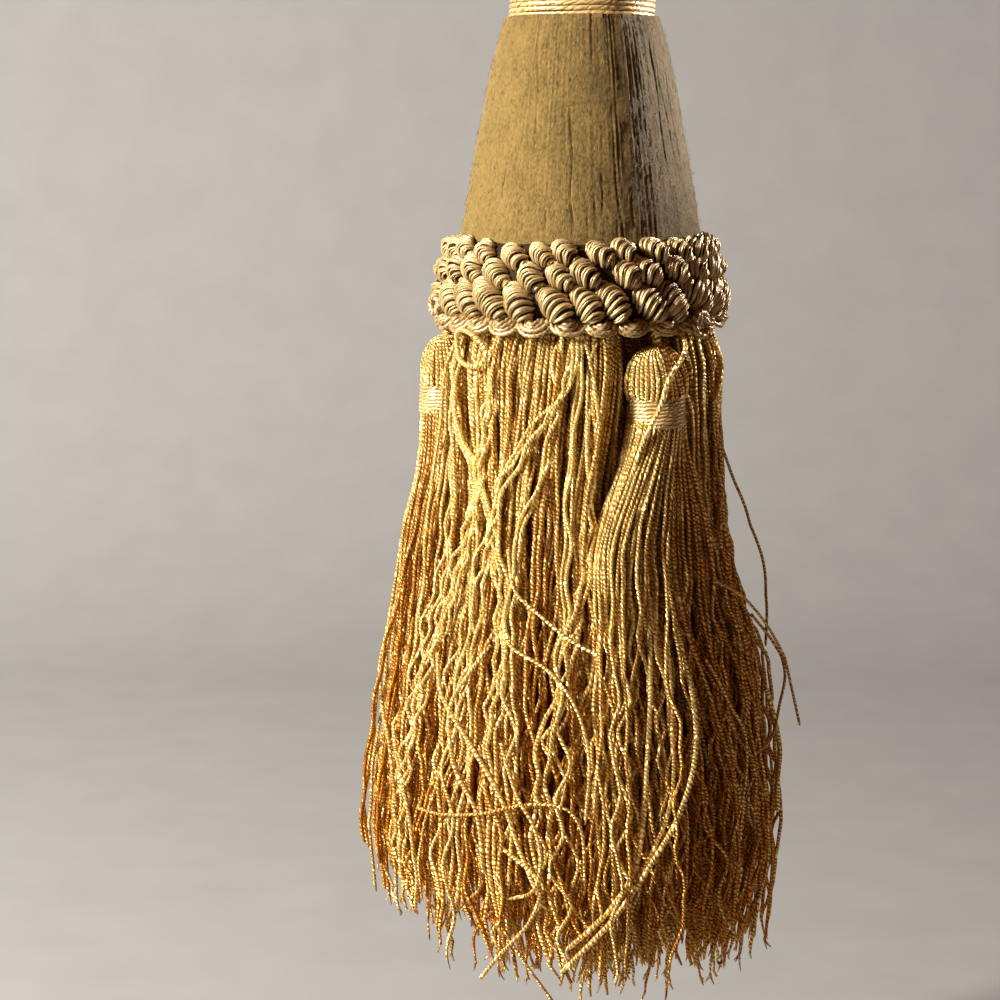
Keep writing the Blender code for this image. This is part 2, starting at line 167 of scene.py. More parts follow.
class TasselStageSettings(bpy.types.PropertyGroup):
    backdrop: colour_property("Backdrop", "Floor and wall behind", (0.295, 0.305, 0.315))
    key_power: number_property("Key light", "Light from the left", 64, "POWER")
    rim_power: number_property("Rim light", "Light from behind", 0.09, "POWER")
    fill: number_property("Fill", "Strength of the light all round", 0.13)
    lens: number_property("Lens", "Focal length in millimetres", 77.2)


# ---------------------------------------------------------------- shapes from arrays


def on_round(radius, azimuth, height):
    """Points on a circle round the hanging axis."""
    turn = np.radians(azimuth)
    radius, turn, height = np.broadcast_arrays(radius, turn, height)
    return np.stack([radius * np.sin(turn), -radius * np.cos(turn), height], axis=-1)


def smooth_step(share):
    share = np.clip(share, 0, 1)
    return share * share * (3 - 2 * share)


def apart(azimuth, centre):
    """How far azimuth lies to the right of centre, from -180 to 180 degrees."""
    return (azimuth - centre + 180) % 360 - 180


def unit(vectors):
    return vectors / np.maximum(np.linalg.norm(vectors, axis=-1, keepdims=True), 1e-12)


def carried_normals(tangents, first):
    """Normals that go along each path without turning about it."""
    normals = np.empty_like(tangents)
    normal = np.broadcast_to(first, tangents[:, 0].shape)
    for ring in range(tangents.shape[1]):
        tangent = tangents[:, ring]
        normal = unit(normal - tangent * (normal * tangent).sum(-1, keepdims=True))
        normals[:, ring] = normal
    return normals


def ring_frames(paths, closed, normals):
    """Two directions across each path at every ring, at right angles to each other."""
    if closed:
        tangents = unit(np.roll(paths, -1, axis=1) - np.roll(paths, 1, axis=1))
    else:
        tangents = unit(np.gradient(paths, axis=1))
    if normals is None:
        lying = np.abs(tangents[:, :1, 2:]) < 0.8
        first = np.where(lying, [0.0, 0.0, 1.0], [0.0, -1.0, 0.0])[:, 0]
        normals = carried_normals(tangents, first)
    else:
        normals = unit(normals - tangents * (normals * tangents).sum(-1, keepdims=True))
    return normals, np.cross(tangents, normals)


def lengths_along(paths, closed):
    """The length of each path up to every ring."""
    ends = np.concatenate([paths, paths[:, :1]], axis=1) if closed else paths
    steps = np.linalg.norm(np.diff(ends, axis=1), axis=-1)
    return np.concatenate([np.zeros((len(paths), 1)), np.cumsum(steps, axis=1)], axis=1)


def even_turns(sides):
    return np.arange(sides) * (math.tau / sides)


def tube_faces(count, rings, sides, closed):
    """The quads of many tubes, as (tube, ring, side, corner)."""
    first = np.arange(count)[:, None, None] * (rings * sides)
    ring = np.arange(rings if closed else rings - 1)[None, :, None]
    side = np.arange(sides)[None, None, :]
    here, there, beside = first + ring * sides, first + (ring + 1) % rings * sides, (side + 1) % sides
    return np.stack([here + side, here + beside, there + beside, there + side], axis=-1)


def tube_maps(along, turn, shape):
    """A UV map that runs once round a tube, and up along it."""
    low = np.broadcast_to(along[:, :-1, None], shape)
    high = np.broadcast_to(along[:, 1:, None], shape)
    edges = np.append(turn, math.tau) / math.tau
    left, right = (np.broadcast_to(edge, shape) for edge in (edges[:-1], edges[1:]))
    return np.stack([left, low, right, low, right, high, left, high], axis=-1).reshape(-1, 2)


def tube_caps(count, rings, sides):
    """The corners of the two faces that close each tube."""
    ends = np.arange(count)[:, None] * (rings * sides) + np.array([[0, (rings - 1) * sides]])
    return (ends[:, :, None] + np.array([np.arange(sides)[::-1], np.arange(sides)])[None]).ravel()


def new_mesh(name, points, corners, starts, maps):
    """A smooth mesh of faces whose corners begin at starts."""
    mesh = bpy.data.meshes.new(name)
    mesh.vertices.add(len(points))
    mesh.vertices.foreach_set("co", points.ravel())
    mesh.loops.add(len(corners))
    mesh.loops.foreach_set("vertex_index", corners.astype(np.int32))
    mesh.polygons.add(len(starts))
    mesh.polygons.foreach_set("loop_start", starts.astype(np.int32))
    mesh.update(calc_edges=True)
    mesh.uv_layers.new(name="UVMap").data.foreach_set("uv", maps.ravel().astype(np.float32))
    mesh.shade_smooth()
    return mesh


def add_values(mesh, name, values, shape):
    """A number for each point, which a material can read."""
    layer = mesh.attributes.new(name, "FLOAT", "POINT")
    layer.data.foreach_set("value", np.broadcast_to(values, shape).ravel().astype(np.float32))


def tube_mesh(name, paths, radii, turns, bead=1.0, tones=None, closed=False, normals=None, crests=None):
    """One mesh of many tubes. paths is (tube, ring, xyz) and radii (tube, ring), or (tube, ring, side) for
    ribs. turns is how many sides a tube has, or the angle of each. The UV map runs up by 1 for each bead
    along a tube. tones is one number for each tube or point, and crests is 0 in a groove and 1 on a rib."""
    count, rings = paths.shape[:2]
    normals, across = ring_frames(paths, closed, normals)
    turn = even_turns(turns) if isinstance(turns, int) else turns
    sides = len(turn)
    radii = radii[:, :, None] if radii.ndim == 2 else radii
    outward = normals[:, :, None] * np.cos(turn)[:, None] + across[:, :, None] * np.sin(turn)[:, None]
    points = (paths[:, :, None] + radii[..., None] * outward).reshape(-1, 3)
    quads = tube_faces(count, rings, sides, closed)
    maps = tube_maps(lengths_along(paths, closed) / bead, turn, quads.shape[:3])
    corners, starts = quads.ravel(), np.arange(quads.size // 4) * 4
    if not closed:
        caps = tube_caps(count, rings, sides)
        starts = np.concatenate([starts, len(corners) + np.arange(2 * count) * sides])
        maps = np.concatenate([maps, np.full((caps.size, 2), 0.5)])
        corners = np.concatenate([corners, caps])
    mesh = new_mesh(name, points, corners, starts, maps)
    tones = np.full(count, 0.5) if tones is None else tones
    tones = tones[:, None, None] if tones.ndim == 1 else tones
    add_values(mesh, "tone", tones, (count, rings, sides))
    if crests is not None:
        add_values(mesh, "crest", crests, (count, rings, sides))
    return mesh


def tube_piece(name, *args, **more):
    thing = bpy.data.objects.new(name, tube_mesh(name, *args, **more))
    bpy.context.scene.collection.objects.link(thing)
    return thing


def pick_none():
    """Leaves the active object out of edit mode, with none of it picked."""
    bpy.ops.object.mode_set(mode="EDIT")
    bpy.ops.mesh.select_all(action="DESELECT")
    bpy.ops.object.mode_set(mode="OBJECT")


def end_edit():
    """Turns every face outward and leaves edit mode."""
    bpy.ops.mesh.select_all(action="SELECT")
    bpy.ops.mesh.normals_make_consistent(inside=False)
    bpy.ops.object.mode_set(mode="OBJECT")


def extruded_round(name, rows, sides):
    """A disc, extruded and resized from row to row of (radius, height) in edit mode, into a closed body."""
    bpy.ops.object.select_all(action="DESELECT")
    radius, height = rows[0]
    place = (0, 0, height)
    bpy.ops.mesh.primitive_circle_add(vertices=sides, radius=radius, fill_type="NGON", location=place)
    thing = bpy.context.object
    thing.name = name
    bpy.ops.object.mode_set(mode="EDIT")
    for new_radius, new_height in rows[1:]:
        bpy.ops.mesh.extrude_region_move(TRANSFORM_OT_translate={"value": (0, 0, new_height - height)})
        factor = new_radius / radius
        bpy.ops.transform.resize(value=(factor, factor, 1), center_override=(0, 0, new_height))
        radius, height = new_radius, new_height
    end_edit()
    bpy.ops.object.transform_apply(location=True, rotation=True, scale=True)
    bpy.ops.object.shade_smooth()
    return thing


def dressed(piece, material, slot, *nodes):
    """Gives a piece its finish, the body it moves with and the solids it stands for."""
    piece.data.materials.clear()
    piece.data.materials.append(material)
    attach(piece, "root")
    if nodes:
        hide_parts(*nodes)
    return piece


# ---------------------------------------------------------------- materials


def feed(tree, socket, value):
    """Links a socket to another one, or sets its value."""
    if isinstance(value, bpy.types.NodeSocket):
        tree.links.new(value, socket)
    else:
        socket.default_value = value


def add_node(tree, kind, **inputs):
    made = tree.nodes.new(kind)
    for name, value in inputs.items():
        feed(tree, made.inputs[name.replace("_", " ")], value)
    return made


def maths(tree, operation, first, second=0.0, third=0.0):
    made = tree.nodes.new("ShaderNodeMath")
    made.operation = operation
    for socket, value in zip(made.inputs, (first, second, third)):
        feed(tree, socket, value)
    return made.outputs[0]


def mixed(tree, share, first, second):
    made = tree.nodes.new("ShaderNodeMix")
    made.data_type = "RGBA"
    made.clamp_factor = True
    feed(tree, made.inputs[0], share)
    feed(tree, made.inputs[6], (*first, 1))
    feed(tree, made.inputs[7], (*second, 1))
    return made.outputs[2]


def ranged(tree, value, low, high, out_low=0.0, out_high=1.0):
    ends = {"From_Min": low, "From_Max": high, "To_Min": out_low, "To_Max": out_high}
    made = add_node(tree, "ShaderNodeMapRange", Value=value, **ends)
    made.clamp = True
    return made.outputs["Result"]


def new_material(name):
    made = bpy.data.materials.new(name)
    made.use_nodes = True
    return made, made.node_tree, made.node_tree.nodes["Principled BSDF"]


def uv_of(tree):
    uv = tree.nodes.new("ShaderNodeUVMap")
    uv.uv_map = "UVMap"
    return uv.outputs[0]


def attribute_of(tree, name):
    made = tree.nodes.new("ShaderNodeAttribute")
    made.attribute_name = name
    return made.outputs["Fac"]


def place_of(tree):
    return tree.nodes.new("ShaderNodeTexCoord").outputs["Object"]


def noise(tree, place, scale, detail):
    return add_node(tree, "ShaderNodeTexNoise", Vector=place, Scale=scale, Detail=detail).outputs[0]


def twist_height(tree, uv, lobes):
    """1 on the crest of a ply and 0 in the groove beside it."""
    split = add_node(tree, "ShaderNodeSeparateXYZ", Vector=uv)
    phase = maths(tree, "MULTIPLY_ADD", split.outputs[0], float(lobes), split.outputs[1])
    wave = maths(tree, "COSINE", maths(tree, "MULTIPLY", phase, math.pi))
    return maths(tree, "POWER", maths(tree, "ABSOLUTE", wave), 0.7)


def uneven(tree, uv):
    """The same thread, drawn out a little here and pressed together there."""
    split = add_node(tree, "ShaderNodeSeparateXYZ", Vector=uv)
    slide = swing(tree, patches(tree, 260.0), 4.0, split.outputs[1])
    return add_node(tree, "ShaderNodeCombineXYZ", X=split.outputs[0], Y=slide).outputs[0]


def streaks(tree, place, stretch, scale=1.0, detail=3.0):
    """Fibres, drawn out by stretch."""
    drawn_out = add_node(tree, "ShaderNodeMapping", Vector=place, Scale=stretch)
    return noise(tree, drawn_out.outputs[0], scale, detail)


def patches(tree, scale):
    """Soft blotches."""
    return noise(tree, place_of(tree), scale, 2.0)


def lowness(tree, high, low):
    """0 above the one height and 1 below the other."""
    split = add_node(tree, "ShaderNodeSeparateXYZ", Vector=place_of(tree))
    return ranged(tree, split.outputs[2], high, low)


def swing(tree, value, size, base):
    """base, moved up or down by a value that lies about a half."""
    return maths(tree, "MULTIPLY_ADD", maths(tree, "SUBTRACT", value, 0.5), size, base)


def rough_bump(tree, shader, height, strength, depth, roughness, specular):
    bump = add_node(tree, "ShaderNodeBump", Height=height, Strength=strength, Distance=depth)
    tree.links.new(bump.outputs[0], shader.inputs["Normal"])
    shader.inputs["Roughness"].default_value = roughness
    shader.inputs["Specular IOR Level"].default_value = specular


def finished(tree, shader, share, deep, pale, height, depth, roughness, specular):
    """Colours a shader from deep to pale by the share, and raises its surface by the height."""
    tree.links.new(mixed(tree, share, deep, pale), shader.inputs["Base Color"])
    rough_bump(tree, shader, height, 1.0, depth, roughness, specular)


def twisted_material(name, pale, deep, lobes=1, depth=0.00045, roughness=0.44, metallic=0.85):
    """Silky twisted thread: bright plies, grooves darkened as painted shade, and each thread lighter or
    darker than the next. lobes is how many plies show round it."""
    made, tree, shader = new_material(name)
    uv = uv_of(tree)
    ply = twist_height(tree, uneven(tree, uv), lobes)
    fibres = streaks(tree, uv, (9.0, 2.5, 1.0))
    # Painted shade: the colour runs from pale on the crests of the plies to deep in the grooves.
    share = ranged(tree, ply, 0.1, 1.0, 0.15, 1.2)
    share = swing(tree, attribute_of(tree, "tone"), 1.1, share)
    share = swing(tree, fibres, 0.35, share)
    share = swing(tree, patches(tree, 70.0), 0.5, share)
    share = swing(tree, patches(tree, 330.0), 0.9, share)
    # Painted shade: the threads grow darker towards the hem.
    share = maths(tree, "MULTIPLY_ADD", lowness(tree, -0.12, -0.21), -0.70, share)
    height = maths(tree, "MULTIPLY_ADD", fibres, 0.2, maths(tree, "POWER", ply, 2.2))
    finished(tree, shader, share, deep, pale, height, depth, roughness, 1.0)
    shader.inputs["Specular Tint"].default_value = (1.0, 0.84, 0.52, 1)
    shader.inputs["Metallic"].default_value = metallic
    return made


def wound_material(name, pale, deep, around):
    """Soft yarn, laid side by side, with a light fuzz that hides most of its edges. around is how many
    fibres show round one tube of the mesh."""
    made, tree, shader = new_material(name)
    fibres = streaks(tree, uv_of(tree), (around, 0.9, 1.0), detail=5.0)
    felt = streaks(tree, place_of(tree), (1.0, 1.0, 0.75), 1700.0, 4.0)
    share = swing(tree, attribute_of(tree, "tone"), 1.3, 0.5)
    share = swing(tree, fibres, 1.0, share)
    share = swing(tree, felt, 2.0, share)
    share = swing(tree, patches(tree, 160.0), 0.9, share)
    height = maths(tree, "ADD", fibres, felt)
    finished(tree, shader, share, deep, pale, height, 0.00028, 0.80, 0.2)
    shader.inputs["Sheen Weight"].default_value = 0.5
    shader.inputs["Sheen Roughness"].default_value = 0.4
    shader.inputs["Sheen Tint"].default_value = (1.0, 0.80, 0.45, 1)
    return made


def corded_material(name, pale, deep):
    """Satin cord with plies shaped in the mesh: painted shade in the grooves, fine fibres on the crests."""
    made, tree, shader = new_material(name)
    fibres = streaks(tree, uv_of(tree), (6.0, 3.0, 1.0))
    # Painted shade: where the crest attribute marks a groove, the colour goes deep.
    share = ranged(tree, attribute_of(tree, "crest"), 0.35, 0.98)
    share = swing(tree, fibres, 0.5, share)
    share = swing(tree, attribute_of(tree, "tone"), 0.6, share)
    share = swing(tree, patches(tree, 150.0), 0.4, share)
    finished(tree, shader, share, deep, pale, fibres, 0.0001, 0.32, 1.0)
    shader.inputs["Specular Tint"].default_value = (1.0, 0.88, 0.66, 1)
    shader.inputs["Metallic"].default_value = 0.3
    return made


def plain_material(name, colour, roughness=0.8, scale=900.0, lightness=1.0):
    """A quiet surface, faintly mottled."""
    made, tree, shader = new_material(name)
    mottle = noise(tree, place_of(tree), scale, 4.0)
    colour = tuple(lightness * c for c in colour)
    darker = tuple(0.86 * c for c in colour)
    tree.links.new(mixed(tree, mottle, darker, colour), shader.inputs["Base Color"])
    rough_bump(tree, shader, mottle, 0.2, 0.0002, roughness, 0.15)
    return made


# ---------------------------------------------------------------- cap, neck and head


def cone_radius(height):
    """The head's radius at each height."""
    share = np.clip((CONE_TOP - height) / (CONE_TOP - COLLAR_TOP), 0, 1)
    return HEAD_TOP_RADIUS + (HEAD_FOOT_RADIUS - HEAD_TOP_RADIUS) * share**HEAD_SWELL


def wound_yarns(name, azimuths, radii, heights, chance):
    """Yarns laid down a turned form, side by side."""
    count, rings = len(azimuths), len(heights)
    radius = radii + chance.normal(0, 0.00003, (count, 1))
    azimuth = azimuths[:, None] + np.cumsum(chance.normal(0, 0.05, (count, rings)), axis=1)
    thickness = np.broadcast_to(math.pi / count * 3.0 * radii, (count, rings))
    paths = on_round(radius - thickness + 0.00036, azimuth, np.broadcast_to(heights, (count, rings)))
    tones = np.clip(chance.normal(0.5, 0.10, count), 0, 1)
    outward = on_round(1.0, azimuth, 0.0)
    return tube_piece(name, paths, thickness, YARN_TURNS, YARN_BEAD, tones, normals=outward)


def cloud(chance, rings, columns, rows, cells):
    """Soft noise over a grid of rings and columns, the same at both ends of each ring."""
    grid = chance.normal(0, 1, (rows, cells))
    grid = np.concatenate([grid, grid[:, :1]], axis=1)
    place = np.linspace(0, cells, columns, endpoint=False)
    across = np.array([np.interp(place, np.arange(cells + 1), row) for row in grid])
    height = np.linspace(0, rows - 1, rings)
    return np.array([np.interp(height, np.arange(rows), column) for column in across.T]).T


YARN_BEAD = 0.0011
RIDGE_RELIEF, GRAIN_RELIEF, LUMP_RELIEF = 0.000045, 0.000035, 0.000090
CRACK_WIDTH = 0.45  # degrees
Crack = namedtuple("Crack", "azimuth lean top foot depth")
HEAD_CRACKS = (  # where two yarns part: two angles, then millimetres
    Crack(-8, 2, -40, -71, 0.34), Crack(-12, 3, -41, -53, 0.20), Crack(-33, 7, -25, -49, 0.30),
    Crack(-24, 3, -31, -41, 0.18), Crack(-41, -5, -45, -63, 0.32), Crack(-35, -3, -47, -56, 0.22),
    Crack(49, -2, -25, -58, 0.34), Crack(51, 7, -34, -56, 0.28), Crack(60, 2, -30, -66, 0.24),
    Crack(8, 0, -54, -65, 0.20), Crack(16, 0, -52, -67, 0.24), Crack(1, 1, -61, -70, 0.24),
    Crack(5, 0, -59, -68, 0.20), Crack(-19, 0, -60, -69, 0.20), Crack(24, -1, -57, -68, 0.24),
)


def cracked(azimuth, heights, cracks):
    """How deep the surface lies below the winding at each ring and column, in metres."""
    depth = np.zeros((len(heights), len(azimuth)))
    for crack in cracks:
        along = (crack.top * MM - heights) / ((crack.top - crack.foot) * MM)
        fade = smooth_step(along * 5) * smooth_step((1 - along) * 5)
        centre = crack.azimuth + crack.lean * along + 0.5 * np.sin(heights * 420 + crack.azimuth)
        away = apart(azimuth[None, :], centre[:, None])
        depth += crack.depth * MM * np.exp(-((away / CRACK_WIDTH) ** 2)) * fade[:, None]
    return depth


def felted_winding(name, heights, settings, chance):
    """The yarns of the head, felted together into one skin: low uneven ridges down it, and a few cracks.
    Its tones are painted light: paler on the left, where the key light falls, darker round the right."""
    columns, rings = 640, len(heights)
    azimuth = np.degrees(even_turns(columns))
    knots = np.linspace(0, 360, settings.yarns + 1)
    ridge = np.resize(chance.normal(0, 1, settings.yarns), settings.yarns + 1)
    ridge = np.interp(azimuth, knots, ridge)[None, :]
    relief = RIDGE_RELIEF * ridge * (1 + 0.9 * cloud(chance, rings, columns, 9, 22))
    relief = relief + GRAIN_RELIEF * cloud(chance, rings, columns, rings, columns // 2)
    relief = relief + LUMP_RELIEF * cloud(chance, rings, columns, 14, 60)
    more = [
        Crack(chance.uniform(75, 310), 0, top, top - chance.uniform(8, 26), chance.uniform(0.15, 0.4))
        for top in chance.uniform(-55, -30, settings.cracks)
    ]
    radii = cone_radius(heights)[:, None] + relief - cracked(azimuth, heights, list(HEAD_CRACKS) + more)
    path = on_round(0.0, 0.0, heights)[None]
    front = on_round(np.ones(rings), 0.0, 0.0)[None]
    # Painted light and shade: the tones run paler on the left, towards the key light, and darker round the
    # right and back.
    painted_light = np.maximum(0.40 + 0.42 * np.cos(np.radians(azimuth + 75)), 0.3)
    return tube_piece(name, path, radii[None], columns, YARN_BEAD, painted_light[None, None], normals=front)


HAIR_RADIUS = 0.000034


def fuzz(name, count, radii, heights, chance):
    """Short fine hairs that stand a little off the winding."""
    place = chance.uniform(0, 1, (count, 1))
    spread = np.linspace(0, 1, len(heights))
    azimuth = chance.uniform(0, 360, (count, 1))
    share = np.linspace(0, 1, 3)[None, :]
    length = chance.uniform(0.0008, 0.0022, (count, 1))
    slope = chance.normal(0, 0.7, (count, 1))
    height = np.interp(place, spread, heights) - length * share * np.cos(slope)
    azimuth = azimuth + np.degrees(length * np.sin(slope) * share / radii.mean())
    stand = chance.uniform(0.0, 0.0006, (count, 1)) * np.sin(math.pi * share) ** 0.8
    radius = np.interp(-height, -heights, radii) + 0.00006 + stand
    hairs = np.repeat(np.array([[0.6, 1.0, 0.4]]), count, axis=0) * HAIR_RADIUS
    paths = on_round(radius, azimuth, height)
    return tube_piece(name, paths, hairs, 3, 0.002, chance.uniform(0.3, 1, count))


def make_head(settings):
    chance = np.random.default_rng(SEEDS["head"])
    high, low = CONE_TOP + 0.0006, COLLAR_TOP - 0.0030
    rows = [(cone_radius(z) - 0.00022, z) for z in np.linspace(CONE_TOP, HEAD_LOW.z, 14)]
    core = extruded_round("head_core", rows, 72)
    winding = felted_winding("head_winding", np.linspace(low, high, 72), settings, chance)
    yarn = wound_material("wound_head_yarn", settings.pale, settings.deep, 1500.0)
    dressed(winding, yarn, "head_yarn", "head")
    dressed(core, plain_material("head_core_yarn", settings.deep), "head_yarn", "head")
    heights = np.linspace(high, low, 30)
    hairs = fuzz("head_fuzz", settings.hairs, cone_radius(heights), heights, chance)
    dressed(hairs, yarn, "head_yarn", "head")


def cap_profile():
    """(radius, height) pairs from inside the rope hole over the crown and down to the foot."""
    lip = 0.0030
    crown, waist = HOLE_RADIUS + lip, CAP_HIGH.x
    turns = np.radians(np.linspace(180, 75, 6))
    rows = [(crown + lip * math.cos(t), lip * math.sin(t) - lip) for t in turns]
    rows += [(crown + lip, -0.0011), (waist - 0.0022, -0.0034), (waist - 0.0006, -0.0064)]
    rows += [(waist, -0.0100), (waist - 0.0005, CAP_LOW.z + 0.0022), (waist - 0.0016, CAP_LOW.z)]
    return np.array(rows)


def bridge_ends(shell):
    """Takes a body's two end faces away and joins their rims, so that a hole runs through it."""
    pick_none()
    for face in shell.data.polygons:
        face.select = len(face.vertices) > 4
    bpy.ops.object.mode_set(mode="EDIT")
    bpy.ops.mesh.delete(type="ONLY_FACE")
    bpy.ops.mesh.select_non_manifold()
    bpy.ops.mesh.bridge_edge_loops()
    end_edit()


def make_cap(settings):
    """A shell with the rope hole through it, wound over with yarn from the mouth to the foot."""
    chance = np.random.default_rng(SEEDS["cap"])
    profile = cap_profile()
    rows = [tuple(row) for row in profile[::-1]] + [(HOLE_RADIUS, -0.0100), (HOLE_RADIUS, CAP_LOW.z)]
    shell = extruded_round("cap_shell", rows, 64)
    bridge_ends(shell)
    reach = np.concatenate([[0], np.cumsum(np.linalg.norm(np.diff(profile, axis=0), axis=1))])
    along = np.linspace(0, 1, 30)
    radii, heights = (np.interp(along, reach / reach[-1], profile[:, column]) for column in (0, 1))
    azimuths = np.arange(settings.cap_yarns) * 360 / settings.cap_yarns
    winding = wound_yarns("cap_winding", azimuths, radii, heights, chance)
    yarn = wound_material("wound_cap_yarn", settings.pale, settings.deep, 5.0)
    dressed(winding, yarn, "cap_yarn", "cap")
    dressed(shell, plain_material("cap_core_yarn", settings.deep), "cap_yarn", "cap")


def yarn_rounds(name, count, top, foot, radius, segments, bead, slant=0.0, centre=(0, 0, 0)):
    """Rounds of twisted yarn, one under the other."""
    pitch, sides = (top - foot) / count, 10
    turn = np.linspace(0, 360, segments, endpoint=False)
    levels = top - pitch * (np.arange(count) + 0.5)
    tilt = slant * np.sin(np.radians(turn))[None, :]
    bulge = 0.00012 * np.sin(np.radians(turn * 3))[None, :] * np.linspace(-1, 1, count)[:, None]
    paths = on_round(radius + bulge, turn[None, :], levels[:, None] + tilt) + np.array(centre)
    lobe = np.abs(np.cos(even_turns(sides)))
    radii = pitch * 0.56 * ((0.96 + 0.04 * lobe) * np.ones((count, segments, 1)))
    tones = np.linspace(0.35, 0.7, count)
    return tube_piece(name, paths, radii, sides, bead, tones, closed=True)


def make_neck(settings):
    high, low = BINDING_HIGH.z + 0.0001, BINDING_LOW.z - 0.0001
    rounds = yarn_rounds("neck_rounds", settings.rounds, high, low, BINDING_HIGH.x - 0.0008, 160, 0.0022)
    rows = [(0.0149, high), (0.0156, high - 0.0010), (0.0156, low), (0.0149, low)]
    band = extruded_round("neck_band", rows, 64)
    yarn = twisted_material("satin_yarn", settings.bright, settings.deep, 3, 0.00008, 0.36, 0.3)
    dressed(rounds, yarn, "binding_yarn", "neck_binding")
    dressed(band, plain_material("neck_core_yarn", settings.deep, 0.7), "binding_yarn", "neck_binding")


# ---------------------------------------------------------------- collar


def collar_radius(drop):
    """The collar's outer radius. Both are in millimetres."""
    rows = np.array(COLLAR_FACE)
    return np.interp(drop, rows[:, 0], rows[:, 1])


HUMP_ROWS = ((0.0, 0.235, 0.86), (0.235, 0.50, 0.97), (0.50, 1.0, 1.12))  # start, end and size


def hump_swell(where):
    """A cord is drawn in twice on its way down, so that the collar shows three rows of humps. The swell is
    0 where the cord is drawn in and 1 where it is fullest, and the size is that of the row."""
    rows = np.array(HUMP_ROWS)
    row = np.searchsorted(rows[:, 0], np.clip(where, 0, 0.9999), side="right") - 1
    start, end, size = np.moveaxis(rows[row], -1, 0)
    inside = np.clip((where - start) / (end - start), 0, 1)
    return np.sin(math.pi * inside**1.1) ** 0.8, size


CollarCords = namedtuple("CollarCords", "paths outward bulge arch")


def collar_cords(settings, chance):
    """Where the cords run, and how fat each is along its way. arch is how far its plies bow."""
    count, rings = settings.cords, 90
    share = np.linspace(0, 1, rings)[None, :]
    drop = 0.2 + 16.6 * share + 0.3 * chance.normal(0, 1, (count, 1)) * share
    start = np.arange(count)[:, None] * 360 / count + chance.normal(0, 0.8, (count, 1))
    azimuth = start + settings.turn * share * (1.45 - 0.45 * share)
    azimuth = azimuth + 0.8 * np.sin(share * 11 + chance.uniform(0, math.tau, (count, 1)))
    where = share + chance.normal(0, 0.02, (count, 1))
    swell, size = hump_swell(where)
    bulge = size * (0.32 + 0.68 * swell) * chance.uniform(0.94, 1.05, (count, 1))
    bulge = bulge * np.sqrt(np.clip(share / 0.03, 0.20, 1)) * np.sqrt(np.clip((1 - share) / 0.12, 0.02, 1))
    middle = (collar_radius(drop) - 3.5 + 1.75 * swell + 0.8 * smooth_step((share - 0.85) / 0.15)) * MM
    return CollarCords(
        paths=on_round(middle, azimuth, COLLAR_TOP - drop * MM),
        outward=on_round(1.0, azimuth, 0.0),
        bulge=bulge,
        arch=np.interp(where, [0, 0.235, 0.50, 1.0], [1.0, 1.2, 1.5, 0.9]),
    )


def make_collar(settings):
    chance = np.random.default_rng(SEEDS["collar"])
    cords = collar_cords(settings, chance)
    fat = settings.cord_radius * 0.86 * cords.bulge
    cores = tube_piece("collar_cores", cords.paths, fat, 12, settings.ply, normals=cords.outward)
    satin = corded_material("satin_cord", settings.pale, settings.deep)
    shade = plain_material("collar_shade", settings.deep, lightness=0.2)
    dressed(cores, shade, "collar_cord", "collar")
    dressed(wrapped_threads(cords, settings, chance), satin, "collar_cord", "collar")
    drops = (0.0, 1.0, 3.0, 6.0, 11.0, 15.0, 16.6)
    rows = [((collar_radius(drop) - 2.1) * MM, COLLAR_TOP - drop * MM) for drop in drops]
    band = extruded_round("collar_band", rows, 96)
    dressed(band, shade, "collar_cord", "collar")


def along_cord(length, reach, *values):
    """The values of one cord at the given lengths from its upper end."""
    found = []
    for value in values:
        columns = np.atleast_2d(value.T)
        found.append(np.stack([np.interp(length, reach, column) for column in columns], axis=-1))
    return found


PLY_THREAD_RADIUS = 0.00028


def ply_threads(cord, settings, chance):
    """The threads wrapped over one cord: their lines, radii and tones. Each ply is three threads side by
    side, the middle one higher, and a ply bows up over the cord's front."""
    turn = np.radians(np.linspace(-112, 112, 11))[None, :]
    reach = lengths_along(cord.paths[None], False)[0]
    plies = int(reach[-1] / settings.ply)
    middles = (np.arange(plies) + 0.5 + chance.uniform(-0.12, 0.12, plies)) * reach[-1] / plies
    fat = np.repeat(chance.uniform(0.94, 1.08, plies), 3)[:, None]
    tone = np.repeat(chance.uniform(0.2, 0.8, plies), 3) + chance.normal(0, 0.12, 3 * plies)
    tilt = np.repeat(chance.normal(0.35, 0.14, plies), 3)[:, None]
    beside = np.array([-0.22, 0.0, 0.22]) * settings.ply
    aside = (beside + chance.normal(0, 0.00005, (plies, 3))).reshape(-1, 1)
    length = np.repeat(middles, 3)[:, None]
    (rise,) = along_cord(length[:, 0], reach, cord.arch)
    length = length + aside * (0.45 + 0.65 * np.cos(0.8 * turn))
    length = length - (rise * (np.cos(turn) - 0.3) - tilt * np.sin(turn)) * settings.ply
    length = np.clip(length, 0, reach[-1])
    run = unit(np.gradient(cord.paths, axis=0))
    place, out, size, run = along_cord(length, reach, cord.paths, cord.outward, cord.bulge, run)
    side = unit(np.cross(run, out))
    out = unit(np.cross(side, run))
    away = settings.cord_radius * 0.93 * size[..., 0] * fat
    away = away + np.tile([-0.00010, 0.00014, -0.00010], plies)[:, None]
    away = away + slow_noise(chance, len(length), np.degrees(turn), (50, 120), 0.00006)
    lines = place + away[..., None] * (np.cos(turn)[..., None] * out + np.sin(turn)[..., None] * side)
    thin = np.clip(size[..., 0] * 1.6, 0.35, 1.0) * PLY_THREAD_RADIUS
    return lines, thin * chance.uniform(0.85, 1.15, (len(length), 1)), np.clip(tone, 0, 1)


